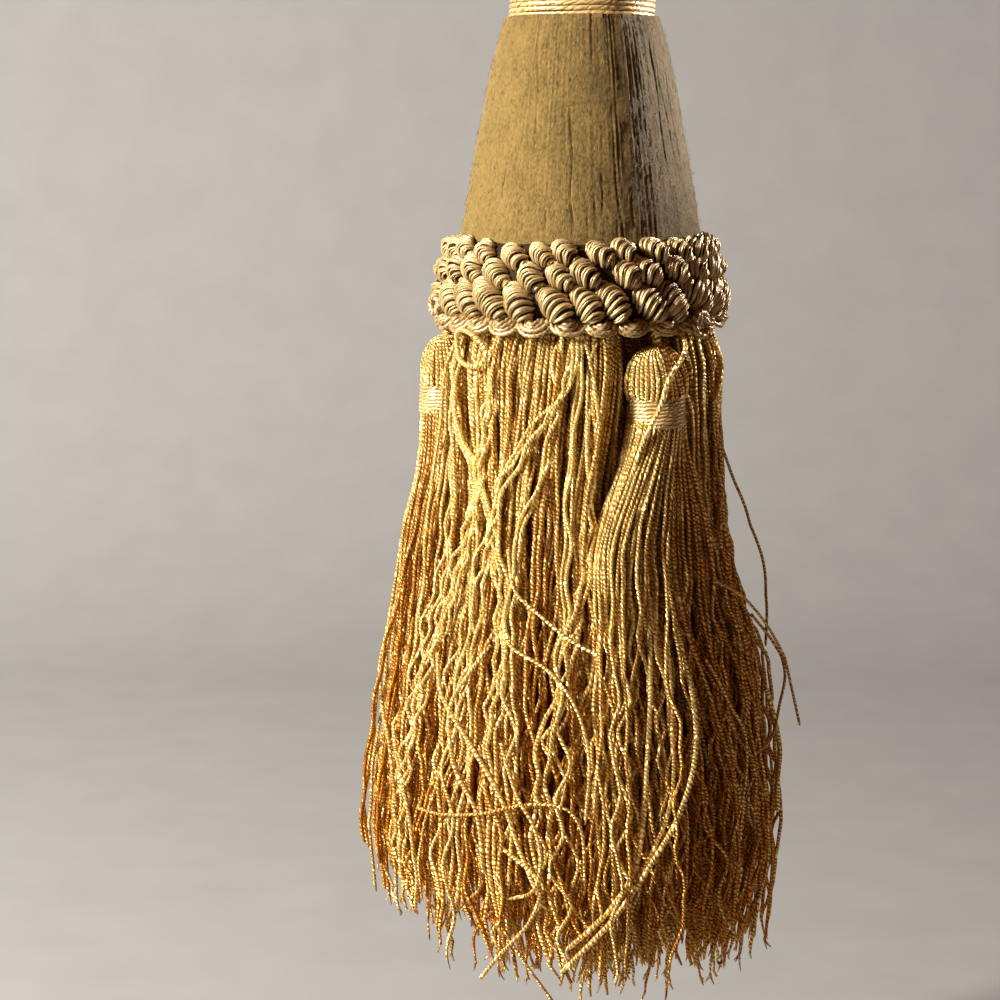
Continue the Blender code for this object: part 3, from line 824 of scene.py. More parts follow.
def wrapped_threads(cords, settings, chance):
    """The plies wrapped over every cord, as bundles of fine threads."""
    made = [ply_threads(CollarCords(*cord), settings, chance) for cord in zip(*cords)]
    paths, radii, tones = (np.concatenate(values) for values in zip(*made))
    crests = np.full((len(paths), paths.shape[1], 4), 0.85)
    return tube_piece("collar_plies", paths, radii, 4, 0.0006, tones, crests=crests)


def twisted_strand(name, paths, radius, bead, deepness, sides=8, tones=None, closed=False):
    """Strands of two plies. deepness is how far a groove goes in, as a share of the radius."""
    length = lengths_along(paths, closed)[:, : paths.shape[1], None] / bead
    around = np.arange(sides)[None, None, :] / sides
    crest = np.abs(np.cos(math.pi * (2 * around + length))) ** 0.7
    radii = radius * (1 - deepness + deepness * crest)
    return tube_piece(name, paths, radii, sides, bead, tones, closed, crests=crest)


SCALLOP_ROUND = 0.0308
COIL_ROUND = 0.0324
Coil = namedtuple("Coil", "azimuth height outer inner turns")
EDGE_COILS = (
    Coil(49.0, COLLAR_FOOT - 0.0010, 0.0031, 0.0009, 1.7),
    Coil(-76.0, COLLAR_FOOT + 0.0022, 0.0021, 0.0013, 1.0),
)


def coil_path(coil):
    """A flat spiral that lies on the round, facing out."""
    share = np.linspace(0, 1, 100)
    reach = coil.outer + (coil.inner - coil.outer) * share
    turn = math.tau * coil.turns * share
    azimuth = coil.azimuth + np.degrees(reach * np.cos(turn) / COIL_ROUND)
    out = COIL_ROUND + 0.0010 * np.sin(share * math.pi)
    return on_round(out, azimuth, coil.height + reach * np.sin(turn))


def make_edge_coils():
    """Two loose coils of the edge cord, where it was joined."""
    paths = np.stack([coil_path(coil) for coil in EDGE_COILS])
    return twisted_strand("edge_coils", paths, 0.00082, 0.0014, 0.30, 10, np.array([0.5, 0.7]))


def scallop_paths(settings, high, chance):
    """Strands that hang in small bights below the cords, one inside the other."""
    rings, cords = 26, settings.cords
    turn = np.linspace(-0.60, 0.60, rings) * math.pi
    middle = np.arange(cords) * (360 / cords) + settings.turn + 2.0 + chance.normal(0, 0.5, cords)
    paths = []
    for strand in range(4):
        wide = (3.5 - 0.85 * strand) * MM * chance.uniform(0.92, 1.08, (cords, 1))
        deep = (3.2 - 0.78 * strand) * MM * chance.uniform(0.86, 1.14, (cords, 1))
        azimuth = middle[:, None] + np.degrees(wide * np.sin(turn) / SCALLOP_ROUND)
        height = high + 0.0012 - deep * (np.cos(turn) + 0.31) / 1.31
        out = 0.0298 + 0.0019 * np.cos(turn) + 0.0002 * strand + chance.normal(0, 0.00015, (cords, 1))
        paths.append(on_round(out, azimuth, height))
    return np.concatenate(paths)


def make_scallops(settings):
    chance = np.random.default_rng(SEEDS["scallops"])
    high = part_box("scallop_edge")[1].z
    satin = bpy.data.materials["satin_cord"]
    paths = scallop_paths(settings, high, chance)
    tones = chance.uniform(0.3, 0.8, len(paths))
    edge = twisted_strand("scallop_strands", paths, 0.00054, 0.0013, 0.32, tones=tones)
    dressed(edge, satin, "collar_cord", "scallop_edge")
    azimuth = np.arange(240) * 1.5
    line = on_round(0.0297, azimuth, high - 0.0006 + 0.0002 * np.sin(np.radians(azimuth * 27)))[None]
    seam = twisted_strand("seam_strand", line, 0.00085, 0.0019, 0.25, closed=True)
    dressed(seam, satin, "collar_cord", "scallop_edge")
    dressed(make_edge_coils(), satin, "collar_cord")


# ---------------------------------------------------------------- skirt


def outline_radius(azimuth, drop):
    """The skirt's outer radius in metres. drop is in millimetres."""
    rows = np.array(SKIRT_OUTLINE)
    right = (1 + np.sin(np.radians(azimuth))) / 2
    left_radius = np.interp(drop, rows[:, 0], rows[:, 1])
    right_radius = np.interp(drop, rows[:, 0], rows[:, 2])
    return (left_radius + (right_radius - left_radius) * right) * MM


def lean_turn(azimuth, drop):
    """How far a thread has leant round the skirt on its way down, in degrees."""
    rise = smooth_step(drop / 52)
    turn = np.zeros_like(azimuth * drop)
    for lean in LEANS:
        away = apart(azimuth, lean.azimuth)
        turn = turn + lean.turn * np.exp(-((away / lean.width) ** 2))
    return turn * rise


def hem_drop(azimuth):
    """The drop of the hem, which hangs lower on one side."""
    return HEM_DROP + HEM_SLANT * np.cos(np.radians(azimuth - HEM_SLANT_AZIMUTH))


def slow_noise(chance, count, drop, wavelengths, size):
    """Gentle wandering along each thread: a few sines of random phase."""
    total = np.zeros((count, drop.shape[-1]))
    for wavelength in wavelengths:
        phase = chance.uniform(0, math.tau, (count, 1))
        stretch = chance.uniform(0.8, 1.3, (count, 1))
        wave = np.sin(drop / (wavelength * stretch) * math.tau + phase)
        total += wave * chance.normal(0, size, (count, 1))
    return total


CLUMP_WIDTH = 7.5  # degrees
CLUMP_PULL = 0.32  # how much narrower a clump is lower down, as a share


def clump_numbers(azimuths, chance):
    """The number of the clump that each thread belongs to."""
    clumps = int(360 / CLUMP_WIDTH)
    edges = np.sort((np.arange(clumps) + chance.uniform(-0.35, 0.35, clumps)) * CLUMP_WIDTH)
    return np.searchsorted(edges, azimuths % 360) % clumps


def clumped(azimuths, number, drop, chance):
    """Threads draw together in clumps of a few, with dark gaps between, and each clump wanders."""
    clumps = number.max() + 1
    members = [azimuths[number == n] for n in range(clumps)]
    centre = np.array([np.mean(member) if len(member) else 0 for member in members])
    offset = azimuths - centre[number]
    close = 1 - CLUMP_PULL * smooth_step(drop / 28) * (0.7 + 0.3 * np.sin(drop / 23))
    wander = slow_noise(chance, clumps, drop[:1], (60, 110), 1.0) * smooth_step(drop[:1] / 45)
    return centre[number][:, None] + offset[:, None] * close + wander[number]


HOLLOW_DEPTH = 0.0075
HOLLOW_WIDTH = 16.5  # degrees, to each side


def hollow(azimuth, drop):
    """How far the threads are pressed in behind the small tassels, in metres."""
    depth = np.zeros_like(azimuth)
    for small in SMALL_TASSELS:
        centre = small.azimuth + (small.lean - 4) * smooth_step((drop - 12) / 34)
        away = apart(azimuth, centre)
        depth = depth + HOLLOW_DEPTH * np.exp(-((away / HOLLOW_WIDTH) ** 6))
    return depth * smooth_step((drop + 4) / 7) * (1 - smooth_step((drop - 36) / 44))


def drawn(chance, count, share, spread):
    """A random number for the given share of the threads, and 0 for the others."""
    return ((chance.uniform(0, 1, count) < share) * chance.normal(0, spread, count))[:, None]


ROOT_DROP = -2.5
ROOT_RADIUS = 0.0285
LAYER_THREADS = (0.76, 0.92, 1.0, 0.95, 0.90, 0.76)
LAYER_RINGS = (70, 60, 52, 36, 34, 32)
SkirtLayer = namedtuple("SkirtLayer", "under hem_share threads rings")


def skirt_layers(settings):
    """under is how far a layer lies below the outer one at the root, in millimetres, and hem_share is its
    share of the outer radius at the hem."""
    for number in range(settings.layers):
        yield SkirtLayer(
            under=0.85 * number,
            hem_share=1.0 - 0.10 * number,
            threads=round(settings.threads * LAYER_THREADS[number]),
            rings=LAYER_RINGS[number],
        )


SHORT_SHARE = 0.15


def thread_reach(azimuths, number, chance):
    """Where each thread ends, in millimetres. Clumps end together, and a few threads are short."""
    count = len(azimuths)
    clump = chance.normal(0, 2.4, number.max() + 1)
    short = (chance.uniform(0, 1, count) < SHORT_SHARE) * chance.uniform(2, 14, count)
    return hem_drop(azimuths) + clump[number] + chance.normal(-0.5, 1.6, count) - short


def thread_azimuths(start, number, drop, chance):
    """Where each thread goes round the skirt: with its clump, its lean, waves, and strays at random."""
    count = len(start)
    free = smooth_step((drop - 12) / 90)
    azimuth = clumped(start, number, drop, chance)
    azimuth = azimuth + lean_turn(azimuth, drop)
    azimuth = azimuth + slow_noise(chance, count, drop, (17, 34), 0.62) * (0.35 + 1.2 * free)
    azimuth = azimuth + slow_noise(chance, count, drop, (12, 17), 0.25) * (0.25 + 1.1 * free)
    begins = chance.uniform(2, 70, (count, 1))
    azimuth = azimuth + drawn(chance, count, 0.18, 8) * smooth_step((drop - begins) / 60)
    azimuth = azimuth + drawn(chance, count, 0.55, 13) * smooth_step((drop - 30 - 0.7 * begins) / 75)
    return azimuth + drawn(chance, count, 0.5, 5) * smooth_step((drop - 122) / 16)


def drops_to(reach, share):
    """Drops along each thread, from its root inside the backing to where it ends."""
    return ROOT_DROP + (reach[:, None] - ROOT_DROP) * share[None, :]


def layer_paths(layer, settings, chance):
    """The threads of one layer, from the backing to their ends."""
    count = layer.threads
    start = (np.arange(count) + chance.uniform(-0.3, 0.3, count)) * 360 / count + 97 * layer.under
    start = start % 360
    number = clump_numbers(start, chance)
    reach = thread_reach(start, number, chance)
    drop = drops_to(reach, np.linspace(0, 1, layer.rings) ** 0.95)
    azimuth = thread_azimuths(start, number, drop, chance)
    free = smooth_step(drop / 75)
    root_share = 1 - layer.under * MM / ROOT_RADIUS
    ratio = root_share + (layer.hem_share - root_share) * smooth_step(drop / 140)
    waves = slow_noise(chance, count, drop, (9, 16, 33), 0.22) * (0.5 + 1.0 * free) * MM
    clump = chance.normal(-0.4, 0.9, number.max() + 1)[number][:, None] * smooth_step(drop / 22) * MM
    lift = chance.normal(0, 0.85, count)[:, None] * smooth_step(drop / 15) * MM
    splay = chance.normal(-0.9, 2.3, count)[:, None] * smooth_step((drop - 45) / 80) * MM
    edge = outline_radius(azimuth, drop)
    radius = np.minimum(edge * ratio - settings.thread_radius + waves + clump + lift + splay, edge + 0.0008)
    radius = radius - hollow(azimuth, drop)
    return on_round(radius, azimuth, BACKING_FOOT - drop * MM)


def tapered(radius, rings, count, chance):
    """Thickness along a thread, a little loose at the cut end."""
    share = np.linspace(0, 1, rings)
    ends = np.where(share > 0.985, 0.62, 1.0)
    return radius * ends[None, :] * chance.uniform(0.84, 1.16, (count, 1))


def frayed_ends(name, paths, chance):
    """Fine fibres that open out of each cut end."""
    tips = np.repeat(paths[:, -1], 3, axis=0)
    run = np.repeat(unit(paths[:, -1] - paths[:, -4]), 3, axis=0)[:, None]
    count, rings = len(tips), 4
    aside = chance.normal(0, 0.26, (count, 3))[:, None]
    length = chance.uniform(0.6, 2.6, (count, 1, 1)) * MM
    share = np.linspace(0, 1, rings)[None, :, None]
    fibres = tips[:, None] + length * (run * share + aside * share**1.6) - run * 0.0004
    radii = np.repeat(np.array([[0.30, 0.28, 0.22, 0.12]]), count, axis=0) * MM
    return tube_piece(name, fibres, radii, 3, 0.004, chance.uniform(0.3, 1.0, count))


CORE_THREADS = 210
CORE_THREAD_RADIUS = 0.0011


def skirt_core(settings, chance):
    """Thicker threads inside, which only keep the skirt from being seen through."""
    count, rings = CORE_THREADS, 11
    azimuths = chance.uniform(0, 360, count)
    share = np.sqrt(chance.uniform(0.02, 0.55, count))
    reach = hem_drop(azimuths) + chance.normal(-3, 3, count)
    drop = drops_to(reach, np.linspace(0, 1, rings))
    azimuth = azimuths[:, None] + slow_noise(chance, count, drop, (30, 70), 1.5)
    spread = share[:, None] * (1 - 0.12 * smooth_step(drop / 140))
    radius = outline_radius(azimuth, drop) * spread
    paths = on_round(radius, azimuth, BACKING_FOOT - drop * MM)
    radii = np.full((count, rings), CORE_THREAD_RADIUS)
    # Their tones are kept low: painted shade inside the skirt.
    return tube_piece("skirt_core", paths, radii, 3, settings.bead, chance.uniform(0, 0.4, count))


def make_skirt(settings):
    chance = np.random.default_rng(settings.seed)
    silk = twisted_material("silk_thread", settings.pale, settings.deep)
    ends = []
    for number, layer in enumerate(skirt_layers(settings)):
        paths = layer_paths(layer, settings, chance)
        count = len(paths)
        radii = tapered(settings.thread_radius, layer.rings, count, chance)
        # Painted shade: each layer further in gets darker tones.
        tones = np.clip(chance.normal(0.58, 0.34, count) - 0.26 * number, 0, 1)
        piece = tube_piece(f"skirt_threads_{number + 1}", paths, radii, 4, settings.bead, tones)
        dressed(piece, silk, "skirt_thread", "skirt")
        if number < 3:
            ends.append(paths[:, -4:])
    dressed(frayed_ends("frayed_ends", np.concatenate(ends), chance), silk, "skirt_thread", "skirt")
    dressed(skirt_core(settings, chance), silk, "skirt_thread", "skirt")
    rows = [(ROOT_RADIUS, BACKING_TOP), (0.0287, BACKING_TOP - 0.0010)]
    rows += [(0.0287, BACKING_FOOT + 0.0005), (0.0280, BACKING_FOOT)]
    backing = extruded_round("skirt_backing", rows, 64)
    dressed(backing, plain_material("backing_weave", settings.deep), "skirt_thread", "skirt")


# ---------------------------------------------------------------- small tassels


def local_round(small, radius, turn, height):
    """Points round a small tassel's own axis. turn is in degrees from its outward side."""
    centre = on_round(SMALL_OFFSET, small.azimuth, 0.0)
    return centre + on_round(radius, turn + small.azimuth, height)


def bulb_threads(small, settings, high, chance):
    """Threads folded over the stem, from the pole down to the binding, with a hollow in the right side."""
    rows = np.array(BULB)
    count = 38
    share = np.linspace(0, 1, 18) ** 1.15
    radius = np.interp(share, rows[:, 0], rows[:, 1]) * 1.08 * MM - 0.0004
    radius = radius[None, :] + chance.normal(0, 0.00012, (count, 1))
    turn = (np.arange(count) + chance.uniform(-0.2, 0.2, count))[:, None] * 360 / count
    turn = turn + 14 * np.sin(share * 2.2)[None, :]
    away = apart(turn, 14)
    swell = np.sin(math.pi * share)[None, :]
    radius = radius - 0.0022 * np.exp(-((away / 35) ** 4)) * swell**0.7
    radius = radius + 0.0004 * np.exp(-(((away + 75) / 40) ** 2)) * swell
    paths = local_round(small, radius, turn, high + BULB_HEIGHT - share[None, :] * BULB_HEIGHT)
    fat = np.interp(share, [0, 0.2, 0.5, 1], [0.3, 0.8, 1.05, 0.95])[None, :] * settings.thread_radius
    radii = np.broadcast_to(fat, turn.shape)
    # Painted shade: threads on the bulb's right side, as seen from the front, get darker tones.
    painted_shade = np.clip(np.sin(np.radians(turn[:, 0] + small.azimuth)) * 2 + 0.2, 0, 1)
    tones = np.clip(chance.normal(0.54, 0.15, count) - 0.55 * painted_shade, 0, 1)
    return tube_piece(f"bulb_threads_{small.side}", paths, radii, 6, settings.bead, tones)


def make_bulb(small, settings, chance, silk):
    low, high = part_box(f"small_binding_{small.side}")
    node = f"small_tassel_{small.side}"
    dressed(bulb_threads(small, settings, high.z, chance), silk, "skirt_thread", node)
    rows = [(max(r - 2.8, 0.5) * MM, high.z + BULB_HEIGHT * (1 - s)) for s, r in BULB]
    core = extruded_round(f"bulb_core_{small.side}", rows + [(0.0044, low.z - 0.0012)], 32)
    core.location = on_round(SMALL_OFFSET, small.azimuth, 0.0)
    bpy.ops.object.transform_apply(location=True, rotation=False, scale=False)
    dressed(core, bpy.data.materials["small_core_shade"], "skirt_thread", node)


FALL_STEPS = 40
FallRing = namedtuple("FallRing", "radius threads share")
FALL_RINGS = (FallRing(5.6, 36, 1.00), FallRing(4.7, 30, 0.965), FallRing(3.6, 22, 0.925))


def fall_azimuths(small, across, drop, chance):
    """The threads fan out over the skirt, those on the right side less evenly."""
    count = len(across)
    uneven = 0.07 + 0.12 * np.clip(across * 1.6, 0, 1)
    spread = across - 0.3 * (1 - across**2) + chance.normal(0, 1, count) * uneven
    azimuth = small.azimuth + small.lean + small.fan * spread[:, None]
    loose = smooth_step((drop - 48) / 40)
    azimuth = azimuth + slow_noise(chance, count, drop, (12, 20, 36), 0.5) * (0.4 + 1.6 * loose)
    return azimuth + drawn(chance, count, 0.6, 11) * smooth_step((drop - 50) / 60)


def fall_ring(small, ring, neck, chance):
    """The lines and tones of one ring of threads, which leave the neck upright and come to lie on the
    skirt. neck is the neck's drop."""
    count = ring.threads
    turn = (np.arange(count) + chance.uniform(-0.3, 0.3, count)) * 360 / count
    across, front = np.sin(np.radians(turn)), np.cos(np.radians(turn))
    reach = hem_drop(small.azimuth) - 5 + chance.normal(0, 3.2, count)
    drop = neck - 1.2 + (reach[:, None] - neck + 1.2) * np.linspace(0, 1, FALL_STEPS)[None, :]
    height = BACKING_FOOT - drop * MM
    upright = local_round(small, ring.radius * MM, turn[:, None], height)
    azimuth = fall_azimuths(small, across, drop, chance)
    proud = small.proud * (1 - smooth_step((drop - 40) / 42))
    ratio = ring.share + 0.08 * front[:, None] - 0.035 + proud
    sunken = chance.normal(-1.4, 1.7, (count, 1)) * smooth_step((drop - 48) / 40)
    wander = slow_noise(chance, count, drop, (15, 30), 0.2) + sunken
    laid = on_round(outline_radius(azimuth, drop) * ratio + wander * MM, azimuth, height)
    opened = smooth_step((drop - neck + 5) / 34)[..., None]
    # Painted shade: threads on the fall's right side get darker tones.
    tones = np.clip(chance.normal(0.62, 0.16, count) - 0.5 * np.clip(across * 1.6, 0, 1), 0, 1)
    return upright * (1 - opened) + laid * opened, tones


def make_fall(small, settings, chance, silk):
    """The small tassel's threads, from its neck out over the skirt."""
    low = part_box(f"small_binding_{small.side}")[0]
    neck = (BACKING_FOOT - low.z) / MM
    made = [fall_ring(small, ring, neck, chance) for ring in FALL_RINGS]
    paths, tones = (np.concatenate(values) for values in zip(*made))
    radii = tapered(settings.thread_radius, FALL_STEPS, len(paths), chance)
    fall = tube_piece(f"small_fall_{small.side}", paths, radii, 4, settings.bead, tones)
    dressed(fall, silk, "skirt_thread", f"small_tassel_{small.side}")


def make_small_binding(small, yarn):
    low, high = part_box(f"small_binding_{small.side}")
    name = f"small_rounds_{small.side}"
    centre = on_round(SMALL_OFFSET, small.azimuth, 0.0)
    top, foot = high.z + 0.0004, low.z - 0.0003
    rounds = yarn_rounds(name, 8, top, foot, 0.0058, 56, 0.0019, 0.0003, centre)
    dressed(rounds, yarn, "binding_yarn", f"small_binding_{small.side}")


def make_stem(small, silk):
    """The twisted strand that a small tassel hangs from, from under the collar to the pole of its bulb."""
    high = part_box(f"small_binding_{small.side}")[1]
    top = on_round(0.0275, small.azimuth, BACKING_FOOT + 0.0008)
    pole = local_round(small, 0.0, 0.0, high.z + BULB_HEIGHT - 0.0012)
    share = smooth_step(np.linspace(0, 1, 24))[:, None]
    path = (top + (pole - top) * share)[None]
    path[0, :, 2] = np.linspace(top[2], pole[2], 24)
    stem = twisted_strand(f"small_stem_{small.side}", path, 0.0011, 0.0019, 0.25, 10)
    dressed(stem, silk, "skirt_thread", f"small_tassel_{small.side}")


# ---------------------------------------------------------------- loose threads

# Radius, tone and stops. A stop is azimuth, drop and how far out from the skirt's outline.
LOOSE_THREADS = (
    (0.55, 0.9, ((22, 60, 0.2), (19, 77, 0.9), (17, 92, 1.2), (15, 108, 1.2), (12, 117, 1.2),
        (5, 126, 1.0), (-5, 134, 0.6))),
    (0.62, 1.0, ((29, 55, 0.2), (31, 73, 1.0), (32, 90, 1.4), (26, 104, 1.6), (15, 117, 1.6),
        (7, 127, 1.3), (-6, 139, 0.8))),
    (0.50, 0.8, ((27, 66, 0.2), (25, 83, 0.8), (24, 100, 1.0), (18, 112, 1.0), (8, 123, 0.8),
        (-2, 132, 0.5))),
    (0.42, 0.8, ((-24, 90, 0.4), (-18, 100, 2.0), (-13, 106, 3.0), (-11, 113, 3.0), (-13, 120, 2.2),
        (-20, 123, 0.8))),
    (0.34, 0.6, ((-52, 108, 0.3), (-40, 107, 1.4), (-28, 105, 1.8), (-16, 102, 1.9), (-6, 102, 1.9),
        (-1, 107, 1.6), (0, 119, 0.6))),
    (0.34, 0.4, ((77, 32, 0.2), (81, 39, 2.0), (84, 47, 4.6), (86, 58, 6.2), (87, 68, 4.6),
        (86, 78, 1.0))),
    (0.32, 0.6, ((39, 55, 0.3), (52, 59, 1.4), (68, 65, 2.6), (80, 74, 3.8), (85, 84, 5.0),
        (84, 96, 6.4))),
    (0.34, 0.5, ((82, 70, 0.4), (86, 77, 3.0), (84, 84, 4.2), (80, 91, 2.2), (70, 96, 1.0),
        (56, 97, 0.6))),
    (0.60, 1.0, ((76, 86, 0.2), (77, 93, 1.2), (78, 100, 1.6), (72, 106, 1.4), (71, 113, 1.2))),
    (0.40, 0.7, ((-82, 66, 0.2), (-88, 73, 2.2), (-88, 82, 3.2), (-86, 90, 2.0), (-72, 97, 1.0),
        (-62, 110, 0.6))),
    (0.36, 0.9, ((-27, 50, 0.2), (-23, 58, 0.9), (-14, 63, 1.1), (-4, 68, 1.1), (4, 71, 0.6))),
    (0.36, 0.9, ((-28, 66, 0.2), (-22, 70, 1.0), (-11, 74, 1.2), (-3, 81, 1.2), (1, 92, 0.9),
        (0, 106, 0.5))),
    (0.48, 0.9, ((-50, 74, 0.3), (-45, 82, 0.9), (-33, 91, 1.2), (-23, 101, 1.2), (-17, 112, 1.0),
        (-10, 125, 0.6))),
    (0.45, 0.8, ((-30, 70, 0.2), (-37, 78, 0.9), (-41, 85, 1.2), (-38, 96, 1.2), (-30, 105, 1.0),
        (-27, 118, 0.6))),
    (0.45, 0.9, ((-72, 94, 0.3), (-62, 101, 1.0), (-54, 110, 1.2), (-50, 121, 1.0), (-53, 131, 0.5))),
    (0.45, 0.9, ((-22, 112, 0.5), (-12, 118, 1.4), (-14, 127, 1.4), (-24, 137, 1.0), (-30, 143, 0.5))),
    (0.30, 0.4, ((-24, 128, 0.5), (-17, 136, 1.2), (-10, 144, 1.0), (-5, 150, 0.5))),
    (0.34, 0.7, ((40, 74, 0.4), (46, 84, 1.0), (52, 92, 1.2), (50, 103, 1.0), (44, 114, 0.5))),
    (0.45, 0.6, ((170, 60, 0.3), (160, 75, 1.4), (152, 90, 2.0), (158, 108, 1.4), (168, 120, 0.5))),
    (0.40, 0.6, ((-140, 48, 0.3), (-128, 62, 1.6), (-120, 80, 2.2), (-126, 97, 1.2), (-132, 110, 0.4))),
)
# A few threads lying together across the others: how many, how wide in millimetres, tone and stops.
SurfaceLock = namedtuple("SurfaceLock", "count width tone stops")
SURFACE_LOCKS = (
    (3, 2.8, 0.9, ((-3, 3, -0.3), (-6, 14, 0.3), (-12, 20, 0.7), (-21, 27, 0.8), (-29, 35, 0.8),
        (-34, 46, 0.7), (-36, 58, 0.5), (-37, 75, 0.2), (-36, 95, 0.1), (-39, 132, 0.0))),
    (3, 3.0, 0.8, ((-62, 3, -0.3), (-59, 18, 0.3), (-53, 27, 0.6), (-43, 35, 0.6), (-34, 45, 0.4),
        (-29, 56, 0.3), (-26, 72, 0.3), (-27, 96, 0.2), (-24, 138, 0.0))),
    (2, 2.2, 0.8, ((-10, 3, -0.3), (-11, 22, 0.2), (-14, 32, 0.5), (-21, 43, 0.5), (-24, 56, 0.4),
        (-23, 74, 0.3), (-20, 96, 0.3), (-23, 140, 0.0))),
    (4, 3.6, 0.8, ((-38, 3, -0.3), (-40, 30, 0.2), (-47, 60, 0.4), (-56, 85, 0.5), (-60, 105, 0.3),
        (-57, 134, 0.0))),
    (3, 3.0, 0.7, ((3, 3, -0.3), (2, 40, 0.2), (-2, 62, 0.5), (-9, 84, 0.6), (-12, 104, 0.4),
        (-8, 141, 0.0))),
    (4, 4.2, 0.3, ((66, 3, -0.3), (69, 36, 0.2), (62, 64, 0.4), (57, 88, 0.4), (60, 112, 0.3),
        (56, 140, 0.0))),
)
BULB_THREAD = (
    (41, 5.0, 1.2), (38.5, 7.0, 4.2), (33, 9.6, 6.6), (27.5, 13.6, 6.3),
    (25, 19.4, 5.3), (22, 24.6, 3.4), (19, 29.5, 2.4), (15, 37, 1.4),
)
CURL = ((66, 7, 0.6), (69, 10, 1.1), (70, 13, 1.2), (68, 17, 1.0), (65, 21, 0.4))


def through(stops, rings):
    """A smooth line of azimuth, drop and out through the stops."""
    values = np.array(stops, float)
    knots = np.linspace(0, 1, len(values))
    slopes = np.gradient(values, knots, axis=0)
    where = np.linspace(0, 1, rings)
    cell = np.minimum((where * (len(values) - 1)).astype(int), len(values) - 2)
    step = knots[1]
    share = ((where - knots[cell]) / step)[:, None]
    leaving, arriving = slopes[cell] * step, slopes[cell + 1] * step
    cube, square = share**3, share**2
    line = (2 * cube - 3 * square + 1) * values[cell] + (cube - 2 * square + share) * leaving
    return line + (3 * square - 2 * cube) * values[cell + 1] + (cube - square) * arriving


def laid_path(line):
    """The points of such a line, laid over the skirt."""
    radius = outline_radius(line[:, 0], line[:, 1]) + line[:, 2] * MM
    return on_round(radius, line[:, 0], BACKING_FOOT - line[:, 1] * MM)


def make_loose_threads(settings, silk):
    widths, tones, stops = zip(*LOOSE_THREADS)
    rings = 60
    paths = np.stack([laid_path(through(line, rings)) for line in stops])
    radii = np.repeat(np.array(widths)[:, None] * MM, rings, axis=1)
    radii[:, -1] *= 0.5
    threads = tube_piece("loose_threads", paths, radii, 7, settings.bead, np.array(tones))
    dressed(threads, silk, "skirt_thread")


MM_PER_DEGREE = 0.6  # round the skirt


def lock_lines(lock, rings, chance):
    """The lines and tones of a lock's threads, which lie side by side."""
    line = through(lock.stops, rings)
    share = np.linspace(0, 1, rings)
    drop = line[None, :, 1]
    for number in range(lock.count):
        across = (number - (lock.count - 1) / 2) * lock.width / lock.count
        wave = slow_noise(chance, 1, drop, (9, 14, 26), 0.3)[0]
        own = line.copy()
        own[:, 0] += (across * (0.6 + 0.6 * share) + wave * 1.5) / MM_PER_DEGREE
        own[:, 1] *= 1 - 0.03 * chance.uniform(0, 1) * share
        own[:, 2] += slow_noise(chance, 1, drop, (11, 17, 31), 0.30)[0]
        yield laid_path(own), np.clip(lock.tone + chance.normal(0, 0.08), 0, 1)


def make_surface_locks(settings, silk):
    chance = np.random.default_rng(SEEDS["locks"])
    rings = 52
    made = []
    for lock in SURFACE_LOCKS:
        made.extend(lock_lines(SurfaceLock(*lock), rings, chance))
    paths, tones = (np.array(values) for values in zip(*made))
    radii = tapered(settings.thread_radius * 1.05, rings, len(paths), chance)
    piece = tube_piece("surface_locks", paths, radii, 6, settings.bead, tones)
    dressed(piece, silk, "skirt_thread")


def make_bulb_thread(silk):
    """A twisted thread that slants over the right small tassel's bulb and binding."""
    path = laid_path(through(BULB_THREAD, 70))[None]
    thread = twisted_strand("bulb_thread", path, 0.00055, 0.0015, 0.3, tones=np.array([0.8]))
    dressed(thread, silk, "skirt_thread", "small_tassel_right")


def make_left_loop(settings, silk):
    """A short thread pulled out into a loop under the collar."""
    turn = np.linspace(0, math.tau, 60, endpoint=False)
    azimuth = -49 + np.degrees(0.0046 * np.sin(turn) / 0.0305)
    height = BACKING_FOOT - 0.0084 + 0.0038 * np.cos(turn + 0.3)
    ring = on_round(0.0326 + 0.0006 * np.cos(2 * turn), azimuth, height)[None]
    radii = np.full((1, 60), 0.00058)
    loop = tube_piece("left_loop", ring, radii, 8, settings.bead, np.array([0.9]), closed=True)
    dressed(loop, silk, "skirt_thread")


def make_right_curl(silk):
    """A twisted thread that curls out under the collar."""
    path = laid_path(through(CURL, 60))[None]
    curl = twisted_strand("right_curl", path, 0.00058, 0.0017, 0.35, 10, np.array([0.9]))
    dressed(curl, silk, "skirt_thread")


# ---------------------------------------------------------------- operators


class TASSEL_OT_head(bpy.types.Operator):
    """Winds the cap and the head with yarn, and binds the neck"""

    bl_idname = "tassel.head"
    bl_label = "Cap, neck and head"

    def execute(self, context):
        settings = context.scene.tassel_head
        make_cap(settings)
        make_neck(settings)
        make_head(settings)
        return {"FINISHED"}


class TASSEL_OT_collar(bpy.types.Operator):
    """Lays the slanting cords of the collar, with the scalloped cord along its edge"""

    bl_idname = "tassel.collar"
    bl_label = "Collar"

    def execute(self, context):
        settings = context.scene.tassel_collar
        make_collar(settings)
        make_scallops(settings)
        return {"FINISHED"}


class TASSEL_OT_skirt(bpy.types.Operator):
    """Hangs the layers of twisted thread"""

    bl_idname = "tassel.skirt"
    bl_label = "Skirt"

    def execute(self, context):
        make_skirt(context.scene.tassel_skirt)
        return {"FINISHED"}


